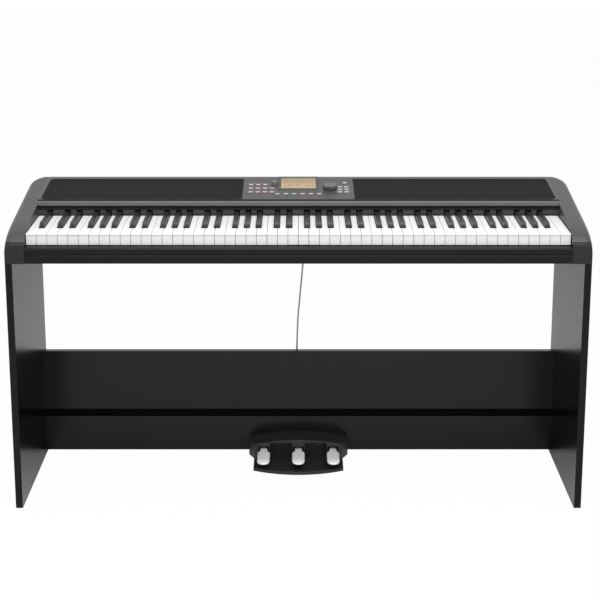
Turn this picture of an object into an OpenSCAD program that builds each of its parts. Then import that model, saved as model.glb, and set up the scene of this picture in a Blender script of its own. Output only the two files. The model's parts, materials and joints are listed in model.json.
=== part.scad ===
// Digital piano on a stand: an 88-key slab body on two side panels joined by two boards,
// with a three-pedal unit on the lower board. Millimetres, +Z up, the front faces -Y.
// The origin lies on the floor at the middle of the width and of the depth.

/* [Overall] */
// Height of the side panels' top edges above the floor
stand_h = 592; // [540:1:640]
// Depth of the body and of the side panels
depth = 360; // [356:1:400]

/* [Keyboard] */
// Spacing of the white keys
key_pitch = 23.5; // [23:0.1:24]
// Gap between two neighbouring keys
key_gap = 1; // [0.8:0.1:1.2]
// Length of a white key's cap
white_len = 178; // [172:1:182]
// Length of a white key's full-width front part
head_len = 50; // [46:1:54]
// Height of a white key's front face
white_h = 26; // [23:0.5:27]
// Height of the white keys' tops above the underside of the body
key_top = 64; // [62:0.5:66]
// Wall of a moulded key
key_wall = 2.4; // [2:0.1:3]
// Overhang of a white key's top over its front face
key_lip = 1.2; // [0.8:0.1:2]
// Height of a black key above the white ones
black_rise = 12; // [10:0.5:13]
// Width of a black key at its foot
black_w = 12; // [11:0.1:12.3]
// Width of a black key's top
black_top_w = 9.6; // [9:0.1:10.5]
// Run of a black key's sloping front
black_slant = 7; // [5:0.5:10]
// How far the black keys run on behind the white ones
black_tail = 4; // [2:0.5:6]
// Distance from a key's front to its pivot
pivot_len = 205; // [200:1:210]
// Depth of the pivot below the white keys' tops
pivot_drop = 10; // [9:0.5:11]
// Radius of the pivot rod
rod_r = 2; // [1.5:0.1:2.2]
// Radius of a key's hub
hub_r = 6; // [5:0.5:7]
// Width of a key's tail and hub
tail_w = 8; // [6:0.5:9]
// Length of the tail behind the pivot
tail_end = 18; // [16:0.5:20]
// Travel of a key about its pivot, in degrees
key_dip = 2.8; // [2.4:0.1:3]

/* [Body] */
// Width of an end cheek
cheek_w = 44; // [38:1:50]
// Height of an end cheek at its front
cheek_front_h = 44; // [40:1:50]
// Rise of a cheek's shoulder, just behind its front
cheek_shoulder = 22; // [14:1:26]
// Depth over which the shoulder rises
shoulder_len = 20; // [14:1:30]
// Radius of a cheek's outer top edge
cheek_r = 15; // [10:1:20]
// Radius of the cheeks' rear corners seen from above, at their tops
corner_r = 42; // [20:1:46]
// Radius of the same corners at the side panels
foot_corner_r = 8; // [4:1:12]
// Wall of the end cheeks
cheek_wall = 4; // [3.5:0.5:6]
// Height of the seam round the front and the outer side of a cheek
seam_h = 48; // [46:0.5:50]
// Width of that seam
seam_w = 1.6; // [1:0.1:2]
// Height of the key slip, the rail in front of the keys
slip_h = 37; // [30:1:39]
// Thickness of the key slip
slip_t = 18; // [12:1:20]
// Gap between the key slip and the keys
slip_gap = 4; // [3:0.5:6]
// Floor of the bottom case
floor_t = 4; // [3:0.5:5]
// Walls of the two case halves
case_wall = 3; // [2.5:0.1:4]
// Height at which the two case halves meet
split_h = 60; // [50:1:70]
// How far the top case covers the white keys' ends
lip_cover = 16; // [12:0.5:18]
// Height of the lip's lower edge
lip_low = 88; // [86:0.5:91]
// Height of the lip's upper edge
lip_high = 103; // [101:0.5:106]
// Slope of the top, in degrees
top_slope = 6.5; // [4:0.5:7]
// Thickness of the top skin
skin_t = 5; // [4.5:0.1:6]
// Depth of the recesses that hold the grilles and the control panel
recess = 2.5; // [2:0.1:3]

/* [Grilles and speakers] */
// Margin from the lip to the grilles and the control panel, along the slope
top_margin = 6; // [5:0.5:10]
// Margin from the grilles and the control panel to the rear edge, along the slope
rear_margin = 22; // [18:0.5:26]
// Margin from an end cheek to a grille
grille_margin = 5; // [3:0.5:16]
// Radius of a grille's outer corners
grille_r = 12; // [8:1:24]
// Rib between a grille and the control panel
grille_rib = 3; // [2:0.5:6]
// Radius of the speaker's opening
speaker_r = 46; // [40:1:50]
// Depth of a speaker
speaker_d = 37; // [34:0.5:38]
// Number of slots in a grille
slots = 9; // [5:1:9]
// Width of a grille's slot
slot_w = 4; // [3:0.5:5]

/* [Controls] */
// Width of the control panel
panel_w = 258; // [250:1:280]
// Spacing of the button columns in the left group
column_pitch = 17; // [15:0.5:18]
// Spacing of the button rows in the left group
row_pitch = 26; // [18:0.5:28]
// Width of the display housing
display_w = 96; // [90:1:100]
// Length of the display housing, along the slope
display_len = 80; // [74:1:82]
// Height of the display housing's rear edge
display_h = 6; // [5:0.5:10]
// Width of a button
button_w = 10; // [8:0.5:11]
// Length of a button
button_l = 6; // [5:0.5:8]
// Height of a button above the panel
button_h = 1.8; // [1.5:0.1:2.5]
// Running gap round a button
button_gap = 0.3; // [0.2:0.05:0.4]
// Radius of the value dial
dial_r = 17; // [14:0.5:18]
// Height of the value dial
dial_h = 13; // [10:0.5:15]
// Radius of the volume knob
knob_r = 8; // [7:0.5:9]
// Radius of the power button
power_r = 5; // [4:0.5:6]

/* [Stand] */
// Thickness of the side panels
panel_t = 16; // [12:1:20]
// Thickness of the two boards
board_t = 15; // [12:1:18]
// Distance from the side panels' rear edges to the boards' rear faces
board_inset = 35; // [30:1:45]
// Height of the back board's top edge above the floor
board_top = 277; // [260:1:300]
// Height of the joint between the two boards
board_joint = 124; // [118:1:132]
// Height of the pedal board's lower edge
board_low = 14; // [10:0.5:18]
// Height of the shadow groove along the pedal board's top
groove_h = 20; // [10:1:24]
// Depth of the shadow groove
groove_d = 9; // [5:0.5:10]
// Height of the floor glides
glide_h = 3; // [2:0.5:5]
// Steel of the brackets
bracket_t = 2; // [1.5:0.1:3]

/* [Pedals] */
// Spacing of the pedals
pedal_pitch = 86; // [84:1:88]
// Width of a pedal's head
pedal_w = 31; // [26:1:34]
// Width of a pedal's arm
arm_w = 18; // [14:1:20]
// Thickness of a pedal
pedal_t = 9; // [7:0.5:10]
// Distance from a pedal's pivot to its tip
pedal_len = 114; // [112:1:116]
// Radius of a pedal's rounded nose, seen from the side
nose_r = 30; // [24:1:40]
// Length of that nose
nose_run = 17; // [12:1:20]
// Radius of the pedal shaft
shaft_r = 3; // [2.5:0.1:3.5]
// Thickness of the pedal unit's base plate
base_t = 8; // [6:0.5:9]
// Margin of the base plate outside the shaft's end supports
base_margin = 4; // [3:0.5:8]
// Distance from the boards to the base plate's front corners
base_len = 104; // [96:1:108]
// How far the base plate's front edge bows out
base_bow = 25; // [15:1:30]
// Height of the cover's crown above the floor
cover_h = 65; // [62:1:70]
// Drop of the cover's top from its middle to its ends
cover_crown = 15; // [10:1:15]
// Depth of the cover
cover_len = 60; // [56:1:64]
// How far the cover's rear wings stand out from the base plate
wing_out = 13; // [8:0.5:18]

/* [Hidden] */
eps = 0.01;
$fn = 48;

// Keyboard
whites = 52;
keys_w = whites * key_pitch;
end_gap = 1;
inner_w = keys_w + 2 * end_gap;
width = inner_w + 2 * cheek_w;
keys_x = -keys_w / 2;
key_y = slip_t + slip_gap;
key_under = key_top - white_h;
pivot_y = key_y + pivot_len;
pivot_z = key_top - pivot_drop;
tail_under = pivot_z - hub_r;
tail_top = pivot_z + 4;
neck_h = 16;
black_y = head_len + 2;
black_under = key_top - neck_h + 2;
run_gap = 0.05;
rest_gap = 0.1;

// Key colours
ivory = [0.93, 0.93, 0.92];
ebony = [0.08, 0.08, 0.08];

// Places of the keys in an octave: white key, then slot in its group, counted in tails
white_slot = [0, 2, 4, 0, 2, 4, 6];
white_group_first = [0, 0, 0, 3, 3, 3, 3];
black_after = [0, 1, 3, 4, 5];
black_slot = [1, 3, 1, 3, 5];
first_octave_shift = 5;
mid_first = 23;

// Key bed
bed_t = 6;
bed_z = floor_t;
bed_y = slip_t + 6;
bed_end = pivot_y + tail_end + 14;
front_rail = [bed_y + 2, bed_y + 32];
front_felt_top = key_under - pivot_len * sin(key_dip) - 0.2;
felt_t = 4;
rear_rail = [pivot_y + 7, pivot_y + tail_end + 6];
upright_t = 3;
upright_w = 14;
pivot_rail_h = 34;
contact_len = 50;
contact_inset = 10;
strip_len = 20;
strip_h = 5;

// End cheeks: the stations of the loft lie closer at the shoulder and at the rear corner
front_round = 6;
rear_round = 8;
foot_rise = 14;
seam_front = 5.4;
seam_side = 2;
cheek_stations = concat(
    [0, 1, 3, 6, 10, 16, 24, 34, 48, 66, 90],
    [for (k = [1:6]) 90 + (depth - corner_r - 90) * k / 6],
    [for (a = [20, 38, 54, 68]) depth - corner_r * (1 - sin(a))],
    [depth - 2, depth - 0.6, depth]);

// Top of the body
lip_y = key_y + white_len - lip_cover;
top_x = panel_w / 2;
top_len = (depth - lip_y) / cos(top_slope) - top_margin - rear_margin;
top_end = top_margin + top_len;
grille_x0 = top_x + grille_rib;
grille_x1 = inner_w / 2 - grille_margin;
speaker_x = (grille_x0 + grille_x1) / 2;
speaker_u = top_margin + top_len * 0.65;
speaker_rim = 6;
ledge = 7;
board_w_top = -14;
pcb_t = 1.6;
window_margin = 6;
window_t = 1;
display_front_h = 1.5;
display_u = top_end - display_len - 2;
rail_gap = 3;
controls_u = top_margin + top_len / 2;
stem_r = 3;
flange = 1;
flange_t = 2;
dial_x = 76;
dial_u = controls_u - 2;
knob_x = -58;
knob_u = controls_u + row_pitch + 3;
power_x = 112;
power_u = controls_u + 41;
left_x = -top_x + 15;
center_pitch = 20;
center_u = (top_margin + display_u) / 2 + 2;
right_x = 100;
right_pitch = [15, 18];
boss_x = 90;
boss_r = 4;
boss_inset = ledge + 8;

// Rear and underside of the body
socket_r = 8;
jack_x = -60;
jack_w = 150;
jack_h = 26;
jack_z = 16;
jack_r = 3.2;
jack_xs = [-55, -25, 5];
port = [25, 8, 12, 10];
inlet_x = 58;
inlet_r = 4;
housing_d = 12;
housing_margin = 10;
rib_xs = [150, 340, 540];
rib_t = 3;
rib_h = 30;
vents = 6;
vent_x = 240;
vent_w = 80;
vent_l = 3;
vent_pitch = 11;
vent_y = depth - 84;
case_screw_xs = [-560, -200, 200, 560];
case_screw_places = [for (x = case_screw_xs, y = [front_rail[0] + 12, rear_rail[0] + 8]) [x, y]];

// Stand
panel_x = width / 2 - panel_t;
board_y = depth - board_inset - board_t;
bracket_screw_x = inner_w / 2 - 10;
bracket_w = 40;
bracket_leg = 42;
bracket_hole = 28;
corner_leg = board_inset - 5;
corner_hole = corner_leg - 12;
screw_gap = 0.2;
bracket_insets = [188, 70];
bracket_ys = [for (inset = bracket_insets) depth - inset];
corner_zs = [board_joint + 76, board_joint - 62];
screw_r = 2;
screw_head_r = 4.5;
screw_head_h = 2.5;
screw_len = 12;
glide_r = 7;
glide_ys = [30, depth - 30];

// Pedal unit
pedal_xs = [-pedal_pitch, 0, pedal_pitch];
base_z = glide_h;
base_top = base_z + base_t;
shaft_y = board_y - 14;
shaft_z = base_top + 27;
pedal_hub_r = 8;
tip_y = shaft_y - pedal_len;
tip_drop = 6;
support_t = 4;
shaft_half = pedal_pitch + 21;
shaft_supports = [-shaft_half + support_t / 2, -pedal_pitch / 2, pedal_pitch / 2,
    shaft_half - support_t / 2];
base_half = shaft_half + base_margin;
base_corner_y = board_y - base_len;
base_front_y = base_corner_y - base_bow;
base_front_r = (base_half * base_half + base_bow * base_bow) / (2 * base_bow);
base_front_a = asin(base_half / base_front_r);
cover_y = board_y - cover_len;
cover_half = base_half + wing_out;
crown_r = (cover_half * cover_half + cover_crown * cover_crown) / (2 * cover_crown);
crown_a = asin(cover_half / crown_r);
wing_y = board_y - 24;
shoulder_r = 12;
cover_wall = 3;
guard_t = 3;
guard_lap = 8;
channel_w = 25;
fairing_w = channel_w + 7;
pocket_roof = 8;
cavity_y = shaft_y - pedal_hub_r - 5;
cavity_top = shaft_z + pedal_hub_r + 2;
spring_y = shaft_y - 27;
spring_r = 5;
spring_wire = 0.8;
spring_turns = 5;

// Pedal cord
cord_r = 2;
plug_x = 12;
plug_y = bed_end + 41;
plug_len = 26;
grommet_x = -25;
grommet_z = 32;
grommet_r = 5;
cord_route = [
    [12, 120, 566], [12, 120, 553], [12, 120, 536], [11, 121, 510], [9, 124, 480], [6, 129, 445],
    [3, 135, 410], [0, 141, 375], [-2, 147, 340], [-3, 152, 305], [-4, 156, 270], [-6, 159, 235],
    [-8, 161, 200], [-11, 163, 165], [-15, 164, 134], [-19, 165, 107], [-22, 166, 84],
    [-24, 166, 64], [-25, 165, 51], [-25, 162, 41], [-25, 158, 35], [-25, 153, 32]
];

// ---------- helpers ----------

// Points of an arc about [cx, cy]
function arc(cx, cy, r, a0, a1, n = 6) =
    [for (i = [0:n]) let (a = a0 + (a1 - a0) * i / n) [cx + r * cos(a), cy + r * sin(a)]];

// Outline of a rectangle with round corners
function round_rect(x0, y0, x1, y1, r, n = 4) = concat(
    arc(x1 - r, y1 - r, r, 0, 90, n), arc(x0 + r, y1 - r, r, 90, 180, n),
    arc(x0 + r, y0 + r, r, 180, 270, n), arc(x1 - r, y0 + r, r, 270, 360, n));

// A side profile, drawn in [y, z], extruded from x0 to x1
module extrude_x(x0, x1) {
    translate([x0, 0, 0]) rotate([90, 0, 90]) linear_extrude(x1 - x0) children();
}

// A front profile, drawn in [x, z], extruded from y0 to y1
module extrude_y(y0, y1) {
    translate([0, y1, 0]) rotate([90, 0, 0]) linear_extrude(y1 - y0) children();
}

module block(x0, x1, y0, y1, z0, z1) {
    translate([x0, y0, z0]) cube([x1 - x0, y1 - y0, z1 - z0]);
}

module rod_x(x0, x1, y, z, r) {
    translate([x0, y, z]) rotate([0, 90, 0]) cylinder(r = r, h = x1 - x0);
}

// Frames: y is counted from the front, z from the floor or from the body's underside
module in_stand() translate([0, -depth / 2, 0]) children();
module in_body() translate([0, -depth / 2, stand_h]) children();

// On the sloping top: y runs up the slope from the lip, z is the height above the skin
module on_top() {
    in_body() translate([0, lip_y, lip_high]) rotate([top_slope, 0, 0]) children();
}

// A closed solid through rings of points that run along its length
module loft(rings) {
    n = len(rings[0]);
    m = len(rings);
    polyhedron(
        points = [for (ring = rings) each ring],
        faces = concat(
            [[for (i = [n - 1:-1:0]) i]],
            [for (j = [0:m - 2], i = [0:n - 1])
                let (a = j * n + i, b = j * n + (i + 1) % n) [a, b + n, a + n]],
            [for (j = [0:m - 2], i = [0:n - 1])
                let (a = j * n + i, b = j * n + (i + 1) % n) [a, b, b + n]],
            [[for (i = [0:n - 1]) (m - 1) * n + i]]));
}

// ---------- body ----------

// Height of a cheek's top at the depth y: a straight rise, and the shoulder behind the front
function cheek_top(y) =
    cheek_front_h + (top_z(depth) - cheek_front_h - cheek_shoulder) * y / depth
    + cheek_shoulder * (1 - exp(-y / shoulder_len));

// Height of the top case's surface at the depth y
function top_z(y) = lip_high + (y - lip_y) * tan(top_slope);

// How far the outer side is drawn in at the depth y by the rear corner
function corner_in(y, r) =
    let (d = max(0, y - (depth - r))) r - sqrt(max(0, r * r - d * d));

// How far the cheek's front and rear top edges are rounded down at the depth y
function edge_drop(y) =
    let (f = max(0, front_round - y), b = max(0, y - (depth - rear_round)))
    (front_round - sqrt(max(0, front_round * front_round - f * f)))
    + (rear_round - sqrt(max(0, rear_round * rear_round - b * b)));

function cheek_ring(y, inset) =
    let (
        x0 = inner_w / 2 - (inset > 0 ? 1 : 0),
        foot_x = width / 2 - inset - corner_in(y, foot_corner_r) * 0.99,
        x1 = width / 2 - inset - corner_in(y, corner_r) * 0.99,
        top = cheek_top(y) - edge_drop(y) - inset,
        r = min(cheek_r - inset * 0.5, (x1 - x0) * 0.8)
    )
    concat(
        [[x0, y, inset], [foot_x, y, inset], [foot_x, y, inset + foot_rise]],
        [for (i = [0:6]) let (a = 15 * i) [x1 - r + r * cos(a), y, top - r + r * sin(a)]],
        [[x0, y, top]]);

module cheek() {
    hollow_stations = [for (y = cheek_stations) if (y > front_round && y < depth - corner_r + 1) y];
    difference() {
        loft([for (y = cheek_stations) cheek_ring(y, 0)]);
        loft([for (y = hollow_stations) cheek_ring(y, cheek_wall)]);
        block(inner_w / 2 - 1, width / 2 + 1, -1, seam_front, seam_h, seam_h + seam_w);
        block(width / 2 - seam_side, width / 2 + 1, seam_front - eps, depth + 1, seam_h, seam_h + seam_w);
    }
}

module right_cheek() { color([0.22, 0.22, 0.23]) in_body() cheek(); }
module left_cheek() { color([0.22, 0.22, 0.23]) in_body() mirror([1, 0, 0]) cheek(); }

module key_slip() {
    groove_z = slip_h * 0.55;
    color([0.14, 0.14, 0.14]) in_body() extrude_x(-inner_w / 2, inner_w / 2)
        polygon(concat(
            [[slip_t, 0], [slip_t, slip_h - 2]],
            [[slip_t - 2, slip_h]],
            arc(6, slip_h - 6, 6, 90, 180, 6),
            [[0, groove_z + 2], [1.5, groove_z + 1], [1.5, groove_z - 1], [0, groove_z - 2]],
            arc(3, 3, 3, 180, 270, 3)));
}

module bottom_case() {
    color([0.13, 0.13, 0.13]) in_body() difference() {
        union() {
            block(-inner_w / 2, inner_w / 2, slip_t, depth, 0, floor_t);
            block(-inner_w / 2, inner_w / 2, depth - case_wall, depth, floor_t - eps, split_h);
            for (s = [-1, 1], x = rib_xs)
                block(s * x - rib_t / 2, s * x + rib_t / 2, bed_end + 6, depth - case_wall + eps,
                    floor_t - eps, rib_h);
        }
        for (s = [-1, 1], i = [0:vents - 1])
            block(s * vent_x - vent_w / 2, s * vent_x + vent_w / 2, vent_y + vent_pitch * i,
                vent_y + vent_pitch * i + vent_l, -1, floor_t + 1);
        translate([plug_x, plug_y, -1]) cylinder(r = socket_r, h = floor_t + 2);
        block(jack_x - jack_w / 2, jack_x + jack_w / 2, depth - case_wall - 1, depth + 1,
            jack_z, jack_z + jack_h);
        for (p = case_screw_places) translate([p[0], p[1], -1]) {
            cylinder(r = screw_r + 0.2, h = floor_t + 2);
            cylinder(r = screw_head_r + 0.3, h = 1 + screw_head_h + rest_gap);
        }
        for (s = [-1, 1], y = bracket_ys) translate([s * (bracket_screw_x), y, -1])
            cylinder(r = screw_r + run_gap, h = floor_t + 2);
    }
}

module case_screws() {
    color([0.1, 0.1, 0.1]) in_body() for (p = case_screw_places) translate([p[0], p[1], 0]) {
        difference() {
            cylinder(r = screw_head_r, h = screw_head_h);
            translate([0, 0, -eps]) cylinder(r = 1.6, h = 1.4, $fn = 6);
        }
        cylinder(r = screw_r, h = floor_t + bed_t + 2);
    }
}

module top_case() {
    lip_r = 8;
    back_r = 8;
    inner_top = skin_t / cos(top_slope);
    lip_wall = 5;
    rail_step = 2.5;
    rail_low = key_top + black_rise + rail_gap;
    back_c = [depth - back_r, top_z(depth - back_r) - back_r / cos(top_slope)];
    lip_c = [lip_y + lip_r, top_z(lip_y + lip_r) - lip_r / cos(top_slope)];
    color([0.2, 0.2, 0.21]) difference() {
        in_body() extrude_x(-inner_w / 2, inner_w / 2)
            polygon(concat(
                [[lip_y, lip_low]],
                arc(lip_c[0], lip_c[1], lip_r, 180, 90 + top_slope, 5),
                arc(back_c[0], back_c[1], back_r, 90 + top_slope, 0, 6),
                [[depth, split_h], [depth - case_wall, split_h]],
                [[depth - case_wall, top_z(depth - case_wall) - inner_top]],
                [[lip_y + lip_wall, top_z(lip_y + lip_wall) - inner_top], [lip_y + lip_wall, rail_low],
                    [lip_y + rail_step, rail_low], [lip_y + rail_step, lip_low]]));
        on_top() {
            for (s = [0, 1]) mirror([s, 0, 0]) {
                translate([0, 0, -recess]) linear_extrude(recess + 5) grille_outline(0);
                translate([speaker_x, speaker_u, -skin_t - 2]) cylinder(r = speaker_r, h = skin_t);
            }
            block(-top_x, top_x, top_margin, top_end, -recess, 5);
            block(-top_x + ledge, top_x - ledge, top_margin + ledge, top_end - ledge,
                -skin_t - 3, 1);
        }
    }
}

module grille_outline(gap) {
    polygon(concat(
        [[grille_x0 + gap, top_margin + gap]],
        arc(grille_x1 - grille_r, top_margin + grille_r, grille_r - gap, -90, 0, 6),
        arc(grille_x1 - grille_r, top_end - grille_r, grille_r - gap, 0, 90, 6),
        [[grille_x0 + gap, top_end - gap]]));
}

module grille() {
    slot_len = 2 * speaker_r + 8;
    slot_pitch = 2 * speaker_r / slots;
    on_top() difference() {
        translate([0, 0, -recess]) linear_extrude(recess - 0.3) grille_outline(0.3);
        for (i = [0:slots - 1])
            let (u = speaker_u + (i - (slots - 1) / 2) * slot_pitch)
            block(speaker_x - slot_len / 2, speaker_x + slot_len / 2, u - slot_w / 2, u + slot_w / 2,
                -recess - 1, 1);
    }
}

module right_grille() { color([0.12, 0.12, 0.13]) grille(); }
module left_grille() { color([0.12, 0.12, 0.13]) mirror([1, 0, 0]) grille(); }

module speaker() {
    r = speaker_r;
    d = speaker_d;
    on_top() translate([speaker_x, speaker_u, -skin_t]) rotate_extrude()
        polygon([[0, -d], [r * 0.56, -d], [r * 0.56, -d + 14], [r * 0.74, -d + 17], [r, -6],
            [r + speaker_rim, -3], [r + speaker_rim, 0], [r - 1, 0], [r - 3, -3],
            [r * 0.4, -16], [r * 0.3, -13], [r * 0.12, -11.5], [0, -11]]);
}

module right_speaker() { color([0.16, 0.16, 0.16]) speaker(); }
module left_speaker() { color([0.16, 0.16, 0.16]) mirror([1, 0, 0]) speaker(); }

// ---------- controls ----------

left_buttons = [for (k = [-1:1], i = [0:(k < 1 ? 3 : 2)])
    [left_x + i * column_pitch, controls_u + k * row_pitch]];
center_buttons = [for (i = [-2.5:2.5]) [i * center_pitch, center_u]];
right_buttons = [for (k = [-1:1], i = [0:1])
    [right_x + i * right_pitch[0], controls_u - 8 + k * right_pitch[1]]];

module control_panel() {
    fit = 0.2;
    hole_w = button_w + 2 * button_gap;
    hole_l = button_l + 2 * button_gap;
    color([0.36, 0.36, 0.37]) on_top() difference() {
        union() {
            block(-top_x + fit, top_x - fit, top_margin + fit, top_end - fit, -recess, 0);
            translate([0, display_u, 0]) extrude_x(-display_w / 2, display_w / 2)
                polygon([[0, -eps], [display_len, -eps], [display_len, display_h],
                    [display_len - 3, display_h], [0.8, display_front_h], [0, display_front_h - 0.8]]);
            for (x = [-boss_x, boss_x], u = [top_margin + boss_inset, top_end - boss_inset])
                translate([x, u, board_w_top + pcb_t])
                    cylinder(r = boss_r, h = -board_w_top - pcb_t - recess + eps);
        }
        for (p = concat(left_buttons, center_buttons, right_buttons))
            translate([p[0] - hole_w / 2, p[1] - hole_l / 2, -recess - 1])
                cube([hole_w, hole_l, recess + 2]);
        for (p = [[dial_x, dial_u], [knob_x, knob_u]])
            translate([p[0], p[1], -recess - 1]) cylinder(r = stem_r + run_gap, h = recess + 2);
        translate([power_x, power_u, -recess - 1]) cylinder(r = power_r + button_gap, h = recess + 2);
        display_frame() translate([0, 0, -window_t]) window_shape(0);
    }
}

// The display housing's sloping face: y runs up the face, z is the height above it
display_tilt = atan((display_h - display_front_h) / (display_len - 3.8));
module display_frame() {
    translate([0, display_u + 0.8, display_front_h]) rotate([display_tilt, 0, 0]) children();
}

module window_shape(gap) {
    face_len = (display_len - 3.8) / cos(display_tilt);
    linear_extrude(window_t + (gap > 0 ? -0.2 : 1)) polygon(round_rect(
        -display_w / 2 + window_margin + gap, window_margin + gap,
        display_w / 2 - window_margin - gap, face_len - window_margin - gap, 3, 3));
}

module display_window() {
    color([0.85, 0.66, 0.4]) on_top() display_frame() translate([0, 0, -window_t]) window_shape(0.15);
}

module main_board() {
    edge = ledge + 4;
    color([0.1, 0.35, 0.2]) on_top() block(-top_x + edge, top_x - edge, top_margin + edge,
        top_end - edge, board_w_top, board_w_top + pcb_t);
}

// The peg under a button, which presses the switch on the board
module button_peg() {
    translate([0, 0, board_w_top + pcb_t + 1.6]) cylinder(r = 1.5, h = -board_w_top - pcb_t - recess - 3);
}

// Buttons of one group, with the flanges that keep them under the panel
module buttons(places) {
    on_top() for (p = places) translate([p[0], p[1], 0]) {
        translate([-button_w / 2, -button_l / 2, -recess - flange_t])
            cube([button_w, button_l, recess + flange_t + button_h]);
        translate([-button_w / 2 - flange, -button_l / 2 - flange, -recess - flange_t])
            cube([button_w + 2 * flange, button_l + 2 * flange, flange_t - rest_gap]);
        button_peg();
    }
}

module buttons_left() { color([0.55, 0.5, 0.52]) buttons(left_buttons); }
module buttons_center() { color([0.5, 0.51, 0.5]) buttons(center_buttons); }
module buttons_right() { color([0.62, 0.62, 0.62]) buttons(right_buttons); }

module power_button() {
    color([0.3, 0.3, 0.3]) on_top() translate([power_x, power_u, 0]) {
        translate([0, 0, -recess - flange_t]) {
            cylinder(r = power_r, h = recess + flange_t + button_h);
            cylinder(r = power_r + flange, h = flange_t - rest_gap);
        }
        button_peg();
    }
}

module value_dial() {
    color([0.2, 0.2, 0.21]) on_top() translate([dial_x, dial_u, 0]) {
        rotate_extrude() polygon(concat(
            [[0, 0.3], [dial_r - 1, 0.3], [dial_r, 1.3]],
            arc(dial_r - 2, dial_h - 2, 2, 0, 90, 4),
            [[dial_r - 4, dial_h], [dial_r - 5, dial_h - 0.8], [0, dial_h - 0.8]]));
        translate([0, 0, board_w_top + pcb_t + 0.1]) cylinder(r = stem_r, h = -board_w_top - pcb_t + 1);
    }
}

module volume_knob() {
    color([0.16, 0.16, 0.17]) on_top() translate([knob_x, knob_u, 0]) {
        difference() {
            rotate_extrude() polygon([
                [0, 0.3], [knob_r, 0.3], [knob_r - 0.6, 8.4], [knob_r - 1.4, 9], [0, 9]]);
            block(-0.6, 0.6, 1, knob_r + 1, 8, 10);
        }
        translate([0, 0, board_w_top + pcb_t + 0.1]) cylinder(r = stem_r, h = -board_w_top - pcb_t + 1);
    }
}

// ---------- keyboard ----------

// Key number i counts the white keys from the left; its place in the octave from C
function degree(i) = (i + first_octave_shift) % 7;
function group_x(i) = keys_x + key_pitch * (i - degree(i) + white_group_first[degree(i)]);
function tail_pitch(i) = degree(i) < 3 ? key_pitch * 3 / 5 : key_pitch * 4 / 7;
function slot_x(i, slot) = group_x(i) + slot * tail_pitch(i);
function white_tail_x(i) = slot_x(i, white_slot[degree(i)] + 0.5);
function neck_x0(i) = i == 0 ? keys_x : slot_x(i, white_slot[degree(i)]);
function neck_x1(i) = i == whites - 1 ? keys_x + keys_w : slot_x(i, white_slot[degree(i)] + 1);

// Tail, hub and bore that every key has, about the middle line x
module key_tail(x, y0) {
    difference() {
        union() {
            block(x - tail_w / 2, x + tail_w / 2, y0, pivot_len, tail_under, tail_top);
            block(x - tail_w / 2, x + tail_w / 2, pivot_len, pivot_len + tail_end, tail_under, pivot_z);
            rod_x(x - tail_w / 2, x + tail_w / 2, pivot_len, pivot_z, hub_r);
        }
        rod_x(x - tail_w, x + tail_w, pivot_len, pivot_z, rod_r + run_gap);
    }
}

module white_key(i) {
    x0 = keys_x + key_pitch * i + key_gap / 2;
    x1 = x0 + key_pitch - key_gap;
    n0 = neck_x0(i) + key_gap / 2;
    n1 = neck_x1(i) - key_gap / 2;
    lip_t = 3.5;
    neck_z = key_top - neck_h;
    in_body() translate([0, key_y, 0]) {
        difference() {
            union() {
                extrude_x(x0, x1) polygon([
                    [key_lip, key_under], [key_lip, key_top - lip_t - 0.6], [0, key_top - lip_t],
                    [0, key_top - 1], [0.3, key_top - 0.3], [1, key_top], [head_len, key_top],
                    [head_len, key_under]]);
                block(n0, n1, head_len - eps, white_len, neck_z, key_top);
            }
            block(x0 + key_wall, x1 - key_wall, key_lip + key_wall, head_len - key_wall, key_under - 1,
                key_top - lip_t);
            block(n0 + key_wall, n1 - key_wall, head_len + key_wall, white_len - key_wall, neck_z - 1,
                key_top - lip_t);
        }
        key_tail(white_tail_x(i), white_len - eps);
    }
}

module black_key(i, slot) {
    x = slot_x(i, slot + 0.5);
    top = key_top + black_rise;
    end = white_len + black_tail;
    edge_r = 3;
    in_body() translate([0, key_y, 0]) {
        intersection() {
            extrude_x(x - black_w, x + black_w) polygon(concat(
                [[black_y, black_under], [black_y + 1, key_top + 1]],
                arc(black_y + black_slant + edge_r - 0.5, top - edge_r, edge_r, 155, 90, 4),
                [[end - 1, top], [end, top - 1], [end, black_under]]));
            extrude_y(black_y - 1, end + 1) polygon([
                [x - black_w / 2, black_under - 1], [x + black_w / 2, black_under - 1],
                [x + black_w / 2, key_top], [x + black_top_w / 2 + 0.3, top - 1],
                [x + black_top_w / 2 - 0.7, top], [x - black_top_w / 2 + 0.7, top],
                [x - black_top_w / 2 - 0.3, top - 1], [x - black_w / 2, key_top]]);
        }
        key_tail(x, end - eps);
    }
}

// Black keys whose left white neighbour is one of the white keys first to last
module black_keys(first, last) {
    for (i = [first:last], k = [0:4])
        if (degree(i) == black_after[k] && i < whites - 1) black_key(i, black_slot[k]);
}

module white_keys_low() { color(ivory) for (i = [0:mid_first - 1]) white_key(i); }
module white_keys_high() { color(ivory) for (i = [mid_first + 7:whites - 1]) white_key(i); }
module black_keys_low() { color(ebony) black_keys(0, mid_first - 1); }
module black_keys_high() { color(ebony) black_keys(mid_first + 7, whites - 1); }
module middle_white(k) { color(ivory) white_key(mid_first + k); }
module middle_black(k) { color(ebony) black_key(mid_first + black_after[k], black_slot[k]); }

module pivot_rod() {
    color([0.7, 0.7, 0.72]) in_body() rod_x(-inner_w / 2, inner_w / 2, pivot_y, pivot_z, rod_r);
}

// Uprights that carry the pivot rod: one at each C, and one at each end
upright_xs = concat(
    [-inner_w / 2 + upright_t / 2],
    [for (i = [2:7:whites - 1]) keys_x + key_pitch * i],
    [inner_w / 2 - upright_t / 2]);

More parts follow.
